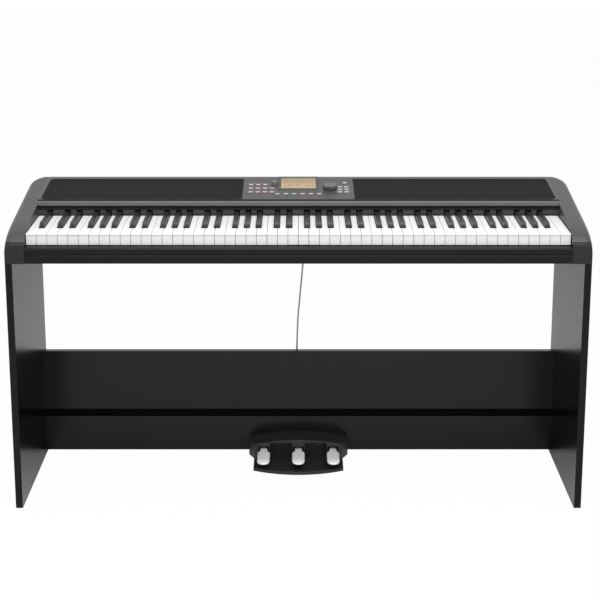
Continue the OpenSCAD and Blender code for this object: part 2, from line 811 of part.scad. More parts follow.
module key_bed() {
    color([0.45, 0.46, 0.48]) in_body() difference() {
        union() {
            block(-inner_w / 2, inner_w / 2, bed_y, bed_end, bed_z, bed_z + bed_t);
            block(-inner_w / 2, inner_w / 2, front_rail[0], front_rail[1], bed_z, front_felt_top - felt_t);
            block(-inner_w / 2, inner_w / 2, pivot_y - 8, pivot_y + 2, bed_z, pivot_rail_h);
            block(-inner_w / 2, inner_w / 2, rear_rail[0], rear_rail[1], bed_z,
                tail_under - rest_gap - felt_t);
            for (x = upright_xs)
                extrude_x(x - upright_t / 2, x + upright_t / 2) polygon(concat(
                    [[pivot_y - upright_w / 2, bed_z], [pivot_y + upright_w / 2, bed_z]],
                    arc(pivot_y, pivot_z, 5, 0, 180, 8)));
        }
        rod_x(-inner_w, inner_w, pivot_y, pivot_z, rod_r + run_gap);
        for (p = case_screw_places) translate([p[0], p[1], bed_z - 1])
            cylinder(r = screw_r + run_gap, h = bed_t + 4);
    }
}

module key_felts() {
    color([0.2, 0.2, 0.21]) in_body() {
        block(-keys_w / 2, keys_w / 2, front_rail[0] + 2, front_rail[1] - 2, front_felt_top - felt_t,
            front_felt_top);
        for (k = [0:len(upright_xs) - 2])
            block(upright_xs[k] + 2, upright_xs[k + 1] - 2, rear_rail[0] + 2, rear_rail[1] - 2,
                tail_under - rest_gap - felt_t, tail_under - rest_gap);
    }
}

module contact_board() {
    y0 = key_y + head_len + 20;
    y1 = y0 + contact_len;
    z0 = bed_z + bed_t;
    half = keys_w / 2 - contact_inset;
    color([0.1, 0.35, 0.2]) in_body() {
        block(-half, half, y0, y1, z0, z0 + pcb_t);
        block(-half + 2, half - 2, y0 + 10, y0 + 10 + strip_len, z0 + pcb_t, z0 + pcb_t + strip_h);
    }
}

// ---------- rear and underside ----------

// The rear sockets' plate, with the housing behind it that closes their holes
module jack_plate() {
    fit = 0.15;
    back = depth - case_wall;
    hole_d = housing_d + case_wall - 1;
    color([0.08, 0.08, 0.08]) in_body() difference() {
        union() {
            block(jack_x - jack_w / 2 + fit, jack_x + jack_w / 2 - fit, back, depth - 1,
                jack_z + fit, jack_z + jack_h - fit);
            block(jack_x - jack_w / 2 + housing_margin, jack_x + jack_w / 2 - housing_margin,
                back - housing_d, back + eps, jack_z + 3, jack_z + jack_h - 3);
        }
        for (x = jack_xs) translate([jack_x + x, depth + 1, jack_z + jack_h / 2])
            rotate([90, 0, 0]) cylinder(r = jack_r, h = hole_d);
        translate([jack_x + port[0], depth + 1 - hole_d, jack_z + port[1]])
            cube([port[2], hole_d, port[3]]);
        translate([jack_x + inlet_x, depth + 1, jack_z + jack_h / 2]) rotate([90, 0, 0])
            cylinder(r = inlet_r, h = hole_d);
    }
}

module pedal_socket() {
    color([0.08, 0.08, 0.08]) in_body() translate([plug_x, plug_y, 0]) difference() {
        union() {
            cylinder(r = socket_r - 0.1, h = floor_t);
            translate([0, 0, floor_t]) cylinder(r = socket_r + 3, h = 12);
        }
        translate([0, 0, -1]) cylinder(r = 3, h = 13);
    }
}

// ---------- stand ----------

module side_panel() {
    in_stand() difference() {
        extrude_x(panel_x, panel_x + panel_t)
            polygon(round_rect(0, glide_h, depth, stand_h, 1.5, 2));
        for (y = bracket_ys)
            rod_x(panel_x - 1, panel_x + screw_len, y, stand_h - bracket_hole, screw_r + run_gap);
        for (z = corner_zs)
            rod_x(panel_x - 1, panel_x + screw_len, board_y + board_t + corner_hole, z, screw_r + run_gap);
    }
}

module right_panel() { color([0.13, 0.13, 0.13]) side_panel(); }
module left_panel() { color([0.13, 0.13, 0.13]) mirror([1, 0, 0]) side_panel(); }

module board_holes(z) {
    for (s = [-1, 1]) translate([s * (panel_x - bracket_hole), board_y + board_t + 1, z])
        rotate([90, 0, 0]) cylinder(r = screw_r + run_gap, h = screw_len);
}

module back_board() {
    color([0.12, 0.12, 0.12]) in_stand() difference() {
        block(-panel_x, panel_x, board_y, board_y + board_t, board_joint, board_top);
        board_holes(corner_zs[0]);
    }
}

module pedal_board() {
    color([0.12, 0.12, 0.12]) in_stand() difference() {
        extrude_x(-panel_x, panel_x) polygon([
            [board_y, board_low], [board_y + board_t, board_low], [board_y + board_t, board_joint],
            [board_y + groove_d, board_joint], [board_y + groove_d, board_joint - groove_h],
            [board_y, board_joint - groove_h]]);
        board_holes(corner_zs[1]);
        translate([grommet_x, board_y + board_t + 1, grommet_z]) rotate([90, 0, 0])
            cylinder(r = grommet_r, h = board_t + 2);
    }
}

module mirrored_sides() {
    children();
    mirror([1, 0, 0]) children();
}

// An angle of steel: a leg along -X under the top face, a leg down the side face
module top_bracket(y) {
    difference() {
        union() {
            block(panel_x - bracket_leg, panel_x, y - bracket_w / 2, y + bracket_w / 2,
                stand_h - bracket_t, stand_h);
            block(panel_x - bracket_t, panel_x, y - bracket_w / 2, y + bracket_w / 2,
                stand_h - bracket_leg, stand_h);
        }
        translate([bracket_screw_x, y, stand_h - bracket_t - 1])
            cylinder(r = screw_r + screw_gap, h = bracket_t + 2);
        rod_x(panel_x - bracket_t - 1, panel_x + 1, y, stand_h - bracket_hole, screw_r + screw_gap);
    }
}

// The same angle behind a board, with its other leg on the side panel
module corner_bracket(z) {
    y = board_y + board_t;
    difference() {
        union() {
            block(panel_x - bracket_leg, panel_x, y, y + bracket_t, z - bracket_w / 2, z + bracket_w / 2);
            block(panel_x - bracket_t, panel_x, y, y + corner_leg, z - bracket_w / 2, z + bracket_w / 2);
        }
        translate([panel_x - bracket_hole, y - 1, z]) rotate([-90, 0, 0])
            cylinder(r = screw_r + screw_gap, h = bracket_t + 2);
        rod_x(panel_x - bracket_t - 1, panel_x + 1, y + corner_hole, z, screw_r + screw_gap);
    }
}

module stand_brackets() {
    color([0.2, 0.2, 0.2]) in_stand() mirrored_sides() {
        for (y = bracket_ys) top_bracket(y);
        for (z = corner_zs) corner_bracket(z);
    }
}

// A pan-head screw that points along +Z, with its head's seat at the origin
module screw(length) {
    translate([0, 0, -screw_head_h]) difference() {
        cylinder(r = screw_head_r, h = screw_head_h);
        translate([0, 0, -eps]) cylinder(r = 1.8, h = 1.4, $fn = 6);
    }
    cylinder(r = screw_r, h = length);
}

module stand_screws() {
    y_back = board_y + board_t + bracket_t;
    color([0.3, 0.3, 0.3]) in_stand() mirrored_sides() {
        for (y = bracket_ys) {
            translate([bracket_screw_x, y, stand_h - bracket_t]) screw(bracket_t + floor_t - 0.5);
            translate([panel_x - bracket_t, y, stand_h - bracket_hole]) rotate([0, 90, 0]) screw(screw_len);
        }
        for (z = corner_zs) {
            translate([panel_x - bracket_hole, y_back, z]) rotate([90, 0, 0]) screw(screw_len);
            translate([panel_x - bracket_t, board_y + board_t + corner_hole, z]) rotate([0, 90, 0])
                screw(screw_len);
        }
    }
}

module floor_glides() {
    color([0.1, 0.1, 0.1]) in_stand() {
        mirrored_sides() for (y = glide_ys)
            translate([panel_x + panel_t / 2, y, 0]) cylinder(r = glide_r, h = glide_h);
        for (p = [[-base_half + 20, cover_y], [0, base_front_y + 20], [base_half - 20, cover_y]])
            translate([p[0], p[1], 0]) cylinder(r = 8, h = base_z);
    }
}

// ---------- pedal unit ----------

module pedal_base() {
    color([0.1, 0.1, 0.1]) in_stand() difference() {
        union() {
            translate([0, 0, base_z]) linear_extrude(base_t) polygon(concat(
                [[base_half, board_y], [-base_half, board_y]],
                arc(0, base_front_y + base_front_r, base_front_r, 270 - base_front_a,
                    270 + base_front_a, 16)));
            for (x = shaft_supports) extrude_x(x - support_t / 2, x + support_t / 2) polygon(concat(
                [[shaft_y - 9, base_top - eps], [shaft_y + 9, base_top - eps]],
                arc(shaft_y, shaft_z, shaft_r + 4, 0, 180, 8)));
        }
        rod_x(-base_half, base_half, shaft_y, shaft_z, shaft_r + run_gap);
    }
    // Rear flange that closes the slot under the pedal board
    color([0.1, 0.1, 0.1]) in_stand()
        block(-shaft_half, shaft_half, board_y - guard_t, board_y, base_top - eps,
        board_low + guard_lap);
}

module pedal_shaft() {
    color([0.7, 0.7, 0.72]) in_stand() rod_x(shaft_supports[0] - support_t / 2,
        shaft_supports[3] + support_t / 2, shaft_y, shaft_z, shaft_r);
}

module pedal_cover() {
    pocket_x0 = fairing_w / 2;
    pocket_x1 = pedal_pitch - fairing_w / 2;
    color([0.11, 0.11, 0.11]) in_stand() difference() {
        intersection() {
            translate([0, 0, base_top]) linear_extrude(cover_h) polygon(concat(
                [[cover_half, board_y], [-cover_half, board_y], [-cover_half, wing_y]],
                arc(-base_half + shoulder_r, cover_y + shoulder_r, shoulder_r, 180, 270, 5),
                arc(base_half - shoulder_r, cover_y + shoulder_r, shoulder_r, 270, 360, 5),
                [[cover_half, wing_y]]));
            extrude_y(cover_y - 1, board_y + 1) polygon(concat(
                [[-cover_half, base_top - 1], [cover_half, base_top - 1]],
                arc(0, cover_h - crown_r, crown_r, 90 - crown_a, 90 + crown_a, 16)));
        }
        block(-shaft_half - 1, shaft_half + 1, cavity_y, board_y + 1, base_top - 1, cavity_top);
        for (x = pedal_xs) block(x - channel_w / 2, x + channel_w / 2, cover_y - 1, cavity_y + 1,
            base_top - 1, cavity_top);
        for (s = [-1, 1]) block(min(s * pocket_x0, s * pocket_x1), max(s * pocket_x0, s * pocket_x1),
            cover_y - 1, cavity_y - cover_wall, base_top - 1, cover_h - pocket_roof);
    }
}

// Height of a pedal's middle line at the depth y
function arm_z(y) = shaft_z - tip_drop * (shaft_y - y) / pedal_len;

module pedal(x) {
    w = pedal_w / 2;
    a = arm_w / 2;
    t = pedal_t / 2;
    neck_y = cover_y - 4;
    head_y = cover_y - 12;
    nose_y = tip_y + nose_run;
    nose_a = asin(nose_run / nose_r);
    color([0.75, 0.75, 0.76]) in_stand() translate([x, 0, 0]) difference() {
        union() {
            intersection() {
                extrude_x(-w - 1, w + 1) polygon(concat(
                    [[shaft_y, shaft_z + t], [shaft_y, shaft_z - t]],
                    [[tip_y + 3, arm_z(tip_y) - t], [tip_y, arm_z(tip_y) - t + 2]],
                    arc(nose_y, arm_z(nose_y) + t - nose_r, nose_r, 90 + nose_a, 90, 6)));
                linear_extrude(shaft_z + 20) polygon(concat(
                    [[a, shaft_y + 1], [-a, shaft_y + 1], [-a, neck_y], [-w, head_y]],
                    arc(0, tip_y + w, w, 180, 360, 12),
                    [[w, head_y], [a, neck_y]]));
            }
            rod_x(-a, a, shaft_y, shaft_z, pedal_hub_r);
        }
        rod_x(-w, w, shaft_y, shaft_z, shaft_r + run_gap);
    }
}

module soft_pedal() { pedal(pedal_xs[0]); }
module sostenuto_pedal() { pedal(pedal_xs[1]); }
module damper_pedal() { pedal(pedal_xs[2]); }

// A compression spring between the base plate and a pedal's arm
module pedal_spring(x) {
    sides = 6;
    steps = 12;
    low = base_top + spring_wire + 0.05;
    high = arm_z(spring_y - spring_r - spring_wire) - pedal_t / 2 - spring_wire - 0.1;
    color([0.6, 0.6, 0.62]) in_stand() translate([x, spring_y, 0]) loft([
        for (j = [0:spring_turns * steps])
            let (a = 360 * j / steps, z = low + (high - low) * j / (spring_turns * steps))
            [for (i = [0:sides - 1])
                let (b = 360 * i / sides, r = spring_r + spring_wire * cos(b))
                [r * cos(a), r * sin(a), z + spring_wire * sin(b)]]]);
}

module soft_spring() { pedal_spring(pedal_xs[0]); }
module sostenuto_spring() { pedal_spring(pedal_xs[1]); }
module damper_spring() { pedal_spring(pedal_xs[2]); }

// ---------- pedal cord ----------

// A point between b and c on the smooth curve through a, b, c and d
function spline(a, b, c, d, t) = 0.5 * (2 * b + (c - a) * t
    + (2 * a - 5 * b + 4 * c - d) * t * t + (3 * b - a - 3 * c + d) * t * t * t);

function cord_point(k, t) =
    let (last = len(cord_route) - 1)
    spline(cord_route[max(k - 1, 0)], cord_route[k], cord_route[min(k + 1, last)],
        cord_route[min(k + 2, last)], t);

cord_steps = 3;
cord_points = concat(
    [for (k = [0:len(cord_route) - 2], j = [0:cord_steps - 1]) cord_point(k, j / cord_steps)],
    [cord_route[len(cord_route) - 1]]);

function unit(v) = v / norm(v);
function cord_tangent(j) =
    j == 0 ? [0, 0, -1] :
    j == len(cord_points) - 1 ? [0, -1, 0] : unit(cord_points[j + 1] - cord_points[j - 1]);

module pedal_cord() {
    sides = 8;
    color([0.8, 0.8, 0.8]) loft([
        for (j = [0:len(cord_points) - 1])
            let (t = cord_tangent(j), u = unit(cross(t, [1, 0, 0])), v = cross(u, t))
            [for (i = [0:sides - 1])
                let (b = 360 * i / sides) cord_points[j] + cord_r * (cos(b) * u + sin(b) * v)]]);
}

module cord_plug() {
    color([0.75, 0.75, 0.75]) in_body() translate([plug_x, plug_y, 0]) rotate_extrude() polygon([
        [0, -plug_len], [2.6, -plug_len], [4.6, -15], [6, -14], [6, 0], [2.9, 0], [2.9, 9], [1.5, 11],
        [0, 11]]);
}

module cord_grommet() {
    y = board_y + board_t;
    color([0.1, 0.1, 0.1]) in_stand() translate([grommet_x, board_y, grommet_z]) rotate([-90, 0, 0])
        rotate_extrude() polygon([
            [0, 1], [grommet_r - run_gap, 1], [grommet_r - run_gap, board_t], [grommet_r + 2.5, board_t],
            [grommet_r + 2.5, board_t + 2], [grommet_r - 0.5, board_t + 2], [3.2, board_t + 8],
            [0, board_t + 8]]);
}

// ---------- nodes ----------

bottom_case();
top_case();
left_cheek();
right_cheek();
key_slip();
left_grille();
right_grille();
left_speaker();
right_speaker();
control_panel();
display_window();
main_board();
buttons_left();
buttons_center();
buttons_right();
power_button();
value_dial();
volume_knob();
key_bed();
pivot_rod();
key_felts();
contact_board();
white_keys_low();
black_keys_low();
white_keys_high();
black_keys_high();
middle_white(0);  // key_c4
middle_black(0);  // key_c_sharp4
middle_white(1);  // key_d4
middle_black(1);  // key_d_sharp4
middle_white(2);  // key_e4
middle_white(3);  // key_f4
middle_black(2);  // key_f_sharp4
middle_white(4);  // key_g4
middle_black(3);  // key_g_sharp4
middle_white(5);  // key_a4
middle_black(4);  // key_a_sharp4
middle_white(6);  // key_b4
jack_plate();
pedal_socket();
case_screws();
left_panel();
right_panel();
back_board();
pedal_board();
stand_brackets();
stand_screws();
floor_glides();
pedal_base();
pedal_cover();
pedal_shaft();
soft_pedal();
sostenuto_pedal();
damper_pedal();
soft_spring();
sostenuto_spring();
damper_spring();
pedal_cord();
cord_plug();
cord_grommet();
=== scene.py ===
import json
import math

import bmesh
import bpy
from mathutils import Matrix, Vector

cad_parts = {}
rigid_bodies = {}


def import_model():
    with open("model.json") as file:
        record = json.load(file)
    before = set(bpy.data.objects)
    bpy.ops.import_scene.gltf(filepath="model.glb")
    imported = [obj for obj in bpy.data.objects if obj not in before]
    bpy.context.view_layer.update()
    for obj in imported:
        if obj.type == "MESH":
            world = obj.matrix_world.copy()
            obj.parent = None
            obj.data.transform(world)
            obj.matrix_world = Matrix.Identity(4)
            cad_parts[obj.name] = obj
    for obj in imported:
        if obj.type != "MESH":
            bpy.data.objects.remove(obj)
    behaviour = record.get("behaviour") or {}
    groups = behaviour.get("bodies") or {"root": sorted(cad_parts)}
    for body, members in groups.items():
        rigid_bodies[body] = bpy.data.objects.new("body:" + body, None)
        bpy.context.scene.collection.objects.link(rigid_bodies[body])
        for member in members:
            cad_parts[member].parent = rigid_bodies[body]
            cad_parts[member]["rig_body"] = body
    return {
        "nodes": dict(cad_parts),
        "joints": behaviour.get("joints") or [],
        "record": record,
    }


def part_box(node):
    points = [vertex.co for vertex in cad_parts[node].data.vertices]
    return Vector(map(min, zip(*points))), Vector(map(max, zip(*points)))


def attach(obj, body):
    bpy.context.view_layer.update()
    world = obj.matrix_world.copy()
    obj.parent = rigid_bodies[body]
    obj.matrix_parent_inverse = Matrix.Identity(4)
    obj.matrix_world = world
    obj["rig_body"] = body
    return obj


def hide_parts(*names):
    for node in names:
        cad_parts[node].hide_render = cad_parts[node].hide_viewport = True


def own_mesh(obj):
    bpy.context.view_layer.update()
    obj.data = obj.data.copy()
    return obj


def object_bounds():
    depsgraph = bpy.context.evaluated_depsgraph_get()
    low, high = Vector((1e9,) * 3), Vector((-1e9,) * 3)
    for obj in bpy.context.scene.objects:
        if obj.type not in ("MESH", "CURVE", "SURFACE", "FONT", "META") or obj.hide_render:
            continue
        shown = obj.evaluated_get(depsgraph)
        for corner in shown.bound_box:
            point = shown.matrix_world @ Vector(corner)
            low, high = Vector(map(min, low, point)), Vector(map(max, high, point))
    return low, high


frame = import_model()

cad_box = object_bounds()
ROOT = "piano"
MM = 0.001
SLOT_OF = {row["node"]: row["material_slot"] for row in frame["record"]["subparts"]}
JOINTS = {joint["name"]: joint for joint in frame["joints"]}

# ---------- camera ----------

CAMERA_PLACE = (0.0, -3.155, 1.447)
CAMERA_PITCH = 12.3
FOCAL = 83.0
SENSOR_WIDTH = 36.0
SHIFT = (0.0027, -0.2103)


def add_camera():
    data = bpy.data.cameras.new("camera")
    data.lens = FOCAL
    data.sensor_width = SENSOR_WIDTH
    data.shift_x, data.shift_y = SHIFT
    camera = bpy.data.objects.new("camera", data)
    camera.location = CAMERA_PLACE
    camera.rotation_euler = (math.radians(90.0 - CAMERA_PITCH), 0.0, 0.0)
    bpy.context.scene.collection.objects.link(camera)
    bpy.context.scene.camera = camera


add_camera()

# ---------- pedal cord ----------

CORD_DIAMETER = 4 * MM
CORD_STEPS = 6
# From the grommet in the pedal board up to the plug under the body, with part.scad's points in metres.
CORD_ROUTE = [
    (-0.025, 0.153, 0.032), (-0.025, 0.158, 0.035), (-0.025, 0.162, 0.041), (-0.025, 0.165, 0.051),
    (-0.024, 0.166, 0.064), (-0.022, 0.166, 0.084), (-0.019, 0.165, 0.107), (-0.015, 0.164, 0.134),
    (-0.011, 0.163, 0.165), (-0.008, 0.161, 0.200), (-0.006, 0.159, 0.235), (-0.004, 0.156, 0.270),
    (-0.003, 0.152, 0.305), (-0.002, 0.147, 0.340), (0.000, 0.141, 0.375), (0.003, 0.135, 0.410),
    (0.006, 0.129, 0.445), (0.009, 0.124, 0.480), (0.011, 0.121, 0.510), (0.012, 0.120, 0.536),
    (0.012, 0.120, 0.553), (0.012, 0.120, 0.566),
]


def smooth_path(points, steps):
    """Points of a smooth curve through the given ones, by the Catmull-Rom formula."""
    ends = [points[0] * 2 - points[1], *points, points[-1] * 2 - points[-2]]
    path = []
    for before, start, end, after in zip(ends, ends[1:], ends[2:], ends[3:]):
        for step in range(steps):
            t = step / steps
            path.append(0.5 * (
                2 * start + (end - before) * t
                + (2 * before - 5 * start + 4 * end - after) * t * t
                + (3 * start - before - 3 * end + after) * t ** 3))
    return path + [points[-1]]


def path_length(path):
    return sum((b - a).length for a, b in zip(path, path[1:]))


def add_cord_curve():
    path = smooth_path([Vector(point) for point in CORD_ROUTE], CORD_STEPS)
    curve = bpy.data.curves.new("pedal_lead", "CURVE")
    curve.dimensions = "3D"
    curve.bevel_depth = CORD_DIAMETER / 2
    curve.bevel_resolution = 4
    curve.use_fill_caps = True
    spline = curve.splines.new("POLY")
    spline.points.add(len(path) - 1)
    for point, place in zip(spline.points, path):
        point.co = (*place, 1.0)
    lead = bpy.data.objects.new("pedal_lead", curve)
    bpy.context.scene.collection.objects.link(lead)
    return lead, path_length(path)


pedal_lead, pedal_lead_length = add_cord_curve()

# ---------- materials ----------

COARSE_SCALE = 5.0
DRIFT_RANGE = (0.6, 1.4)
LINE_GRAIN = 0.25 * MM
SMUDGE_SCALE = 45.0
SMUDGE_RANGE = (0.4, 0.7)
SMUDGE_ROUGH = 0.08
TRACE_SCALE = 90.0
TRACE_RELIEF = 0.05 * MM
THREAD_RELIEF = 0.1 * MM


def add_node(tree, kind, inputs=None, **settings):
    """A shader node with its settings, and its inputs set to values or linked to sockets."""
    node = tree.nodes.new(kind)
    for key, value in settings.items():
        setattr(node, key, value)
    for key, value in (inputs or {}).items():
        if isinstance(value, bpy.types.NodeSocket):
            tree.links.new(value, node.inputs[key])
        else:
            node.inputs[key].default_value = value
    return node


def new_tree(name):
    """A new material, its tree and its main shader."""
    material = bpy.data.materials.new(name)
    material.use_nodes = True
    tree = material.node_tree
    return material, tree, tree.nodes["Principled BSDF"]


def grain_coords(tree, grain, stretch=(1, 1, 1)):
    """The object's own coordinates, plain and divided by the size of a grain along each axis."""
    coords = add_node(tree, "ShaderNodeTexCoord").outputs["Object"]
    scale = [1.0 / (grain * s) for s in stretch]
    mapping = add_node(tree, "ShaderNodeMapping", {"Vector": coords, "Scale": scale})
    return coords, mapping.outputs["Vector"]


def noise(tree, place, scale=1.0, detail=2.0):
    return add_node(tree, "ShaderNodeTexNoise", {
        "Vector": place, "Scale": scale, "Detail": detail}).outputs["Fac"]


def blend_colors(tree, factor, low, high):
    mix = add_node(tree, "ShaderNodeMix", {"Factor": factor, 6: (*low, 1), 7: (*high, 1)},
                   data_type="RGBA")
    return mix.outputs[2]


def set_constants(shader, constants):
    for key, value in constants.items():
        shader.inputs[key.replace("_", " ")].default_value = value


def finish(name, color, rough, grain=0.5 * MM, depth=0.01 * MM, stretch=(1, 1, 1), vary=0.06,
           rough_vary=0.05, detail=2.0, **constants):
    """A surface with a fine grain in its relief, and a coarse drift in its colour and gloss."""
    material, tree, shader = new_tree(name)
    place, fine_place = grain_coords(tree, grain, stretch)
    fine = noise(tree, fine_place, detail=detail)
    both = add_node(tree, "ShaderNodeMath", {0: fine, 1: noise(tree, place, COARSE_SCALE, 4.0)},
                    operation="ADD").outputs[0]
    drift = add_node(tree, "ShaderNodeMapRange", {
        "Value": both, "From Min": DRIFT_RANGE[0], "From Max": DRIFT_RANGE[1]}).outputs["Result"]
    paint = blend_colors(tree, drift, [c * (1 - vary) for c in color], [c * (1 + vary) for c in color])
    gloss = add_node(tree, "ShaderNodeMapRange", {
        "Value": both, "From Min": DRIFT_RANGE[0], "From Max": DRIFT_RANGE[1],
        "To Min": rough - rough_vary, "To Max": rough + rough_vary})
    bump = add_node(tree, "ShaderNodeBump", {"Height": fine, "Strength": 0.6, "Distance": depth})
    tree.links.new(paint, shader.inputs["Base Color"])
    tree.links.new(gloss.outputs["Result"], shader.inputs["Roughness"])
    tree.links.new(bump.outputs["Normal"], shader.inputs["Normal"])
    set_constants(shader, constants)
    return material


def brushed(name, color, rough, lines, **constants):
    """Metal with fine lines along one axis, and faint smudges that dull it here and there."""
    material, tree, shader = new_tree(name)
    place, line_place = grain_coords(tree, LINE_GRAIN, lines)
    line = noise(tree, line_place, detail=3.0)
    cloud = noise(tree, place, SMUDGE_SCALE, 5.0)
    dull = add_node(tree, "ShaderNodeMapRange", {
        "Value": cloud, "From Min": SMUDGE_RANGE[0], "From Max": SMUDGE_RANGE[1],
        "To Min": rough, "To Max": rough + SMUDGE_ROUGH})
    paint = blend_colors(tree, cloud, [c * 0.93 for c in color], color)
    bump = add_node(tree, "ShaderNodeBump", {"Height": line, "Strength": 0.35, "Distance": 0.01 * MM})
    tree.links.new(paint, shader.inputs["Base Color"])
    tree.links.new(dull.outputs["Result"], shader.inputs["Roughness"])
    tree.links.new(bump.outputs["Normal"], shader.inputs["Normal"])
    set_constants(shader, constants)
    return material


def circuit(name, color, trace_color, rough):
    """Lacquered board with paler copper traces under the lacquer."""
    material, tree, shader = new_tree(name)
    place, _ = grain_coords(tree, MM)
    tracks = add_node(tree, "ShaderNodeTexBrick", {
        "Vector": place, "Scale": TRACE_SCALE, "Mortar Size": 0.06, "Mortar Smooth": 0.2,
        "Color1": (0, 0, 0, 1), "Color2": (0, 0, 0, 1), "Mortar": (1, 1, 1, 1)})
    cloud = noise(tree, place, 30.0, 3.0)
    factor = add_node(tree, "ShaderNodeMath", {0: tracks.outputs["Fac"], 1: cloud},
                      operation="MULTIPLY").outputs[0]
    bump = add_node(tree, "ShaderNodeBump", {
        "Height": tracks.outputs["Fac"], "Strength": 0.4, "Distance": TRACE_RELIEF})
    tree.links.new(blend_colors(tree, factor, color, trace_color), shader.inputs["Base Color"])
    tree.links.new(bump.outputs["Normal"], shader.inputs["Normal"])
    shader.inputs["Roughness"].default_value = rough
    return material


def weave(name, color, thread, rough):
    """Speaker cloth: two sets of threads that cross."""
    material, tree, shader = new_tree(name)
    place, _ = grain_coords(tree, MM)
    waves = [add_node(tree, "ShaderNodeTexWave", {"Vector": place, "Scale": 1.0 / (6 * thread)},
                      bands_direction=axis).outputs["Fac"] for axis in ("X", "Y")]
    height = add_node(tree, "ShaderNodeMath", {0: waves[0], 1: waves[1]}, operation="MAXIMUM").outputs[0]
    bump = add_node(tree, "ShaderNodeBump", {"Height": height, "Strength": 0.8, "Distance": THREAD_RELIEF})
    paint = blend_colors(tree, height, [c * 0.5 for c in color], color)
    tree.links.new(paint, shader.inputs["Base Color"])
    tree.links.new(bump.outputs["Normal"], shader.inputs["Normal"])
    shader.inputs["Roughness"].default_value = rough
    return material


def painted_glow_display(name, low_color, high_color, low_z, high_z):
    """A display with a painted glow: its colour is brightest at its lower edge, as if lit from there, and
    fades towards its upper one.
    """
    material, tree, shader = new_tree(name)
    place, fine_place = grain_coords(tree, 0.3 * MM)
    height = add_node(tree, "ShaderNodeSeparateXYZ", {"Vector": place}).outputs["Z"]
    fade = add_node(tree, "ShaderNodeMapRange", {
        "Value": height, "From Min": low_z, "From Max": high_z}, interpolation_type="SMOOTHSTEP")
    bump = add_node(tree, "ShaderNodeBump", {
        "Height": noise(tree, fine_place), "Strength": 0.2, "Distance": 0.002 * MM})
    tree.links.new(blend_colors(tree, fade.outputs["Result"], low_color, high_color),
                   shader.inputs["Base Color"])
    tree.links.new(bump.outputs["Normal"], shader.inputs["Normal"])
    set_constants(shader, {"Roughness": 0.45, "Coat_Weight": 0.5, "Coat_Roughness": 0.08})
    return material


FINISHES = {
    "case_plastic": dict(color=(0.060, 0.060, 0.062), rough=0.45, Specular_IOR_Level=0.45),
    # Painted highlight for the lip's upright face; painted shade for the curve above it and the rail under
    # it.
    "lip_plastic": dict(color=(0.135, 0.133, 0.138), rough=0.45, Specular_IOR_Level=0.3),
    "rail_painted_shade": dict(color=(0.024, 0.023, 0.025), rough=0.7, Specular_IOR_Level=0.03),
    "cheek_plastic": dict(color=(0.043, 0.042, 0.045), rough=0.42, Specular_IOR_Level=0.45),
    # The cheeks' feet, painted darker as shade.
    "cheek_foot_painted_shade": dict(color=(0.015, 0.014, 0.0155), rough=0.42, Specular_IOR_Level=0.3),
    "slip_plastic": dict(color=(0.010, 0.010, 0.0102), rough=0.38, Specular_IOR_Level=0.12),
    "grille_metal": dict(color=(0.018, 0.017, 0.021), rough=0.7, grain=0.2 * MM, Specular_IOR_Level=0.1),
    "panel_plastic": dict(color=(0.047, 0.046, 0.046), rough=0.45, Specular_IOR_Level=0.35),
    "print": dict(color=(0.45, 0.45, 0.45), rough=0.5, grain=0.2 * MM, depth=0.003 * MM),
    "display_marks": dict(color=(0.16, 0.115, 0.06), rough=0.4, grain=0.2 * MM, depth=0.002 * MM,
                          Coat_Weight=1.0, Coat_Roughness=0.05),
    "button_rose": dict(color=(0.50, 0.34, 0.38), rough=0.4),
    "button_grey": dict(color=(0.33, 0.38, 0.36), rough=0.4),
    "button_light": dict(color=(0.40, 0.40, 0.40), rough=0.4),
    "led": dict(color=(0.20, 0.05, 0.05), rough=0.2, depth=0.0),
    "knob_plastic": dict(color=(0.095, 0.094, 0.096), rough=0.42),
    "dial_top": dict(color=(0.075, 0.075, 0.076), rough=0.42, stretch=(6, 1, 1)),
    "key_white": dict(color=(0.84, 0.835, 0.82), rough=0.2, grain=2 * MM, depth=0.004 * MM,
                      vary=0.008, rough_vary=0.03, Specular_IOR_Level=0.2),
    "key_black": dict(color=(0.012, 0.012, 0.012), rough=0.36, grain=0.3 * MM, stretch=(1, 12, 1),
                      Specular_IOR_Level=0.35),
    "bed_plastic": dict(color=(0.12, 0.12, 0.125), rough=0.55),
    "felt": dict(color=(0.03, 0.03, 0.032), rough=0.95, grain=0.8 * MM, depth=0.4 * MM, vary=0.3,
                 detail=5.0, Sheen_Weight=0.4),
    "speaker": dict(color=(0.02, 0.02, 0.02), rough=0.8, grain=0.6 * MM, depth=0.06 * MM, detail=5.0),
    "black_plastic": dict(color=(0.015, 0.015, 0.015), rough=0.5, grain=0.3 * MM),
    "screw_black": dict(color=(0.03, 0.03, 0.03), rough=0.4, Metallic=0.6),
    "laminate": dict(color=(0.008, 0.0078, 0.0078), rough=0.22, grain=0.35 * MM, stretch=(14, 14, 1),
                     rough_vary=0.02, Specular_IOR_Level=0.25),
    "side_laminate": dict(color=(0.0024, 0.0022, 0.0022), rough=0.24, grain=0.35 * MM,
                          stretch=(1, 1, 14), rough_vary=0.02, Specular_IOR_Level=0.2),
    # Near black paint in the pedal board's groove, as painted shade.
    "groove": dict(color=(0.003, 0.003, 0.003), rough=0.9, Specular_IOR_Level=0.05),
    "bracket": dict(color=(0.03, 0.03, 0.03), rough=0.55, grain=0.8 * MM, depth=0.03 * MM),
    "glide": dict(color=(0.02, 0.02, 0.02), rough=0.7),
    "pedal_black": dict(color=(0.019, 0.0183, 0.0187), rough=0.42, Specular_IOR_Level=0.4),
    "cord_grey": dict(color=(0.38, 0.38, 0.38), rough=0.5, grain=0.4 * MM),
}
WINDOW_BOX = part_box("display_window")
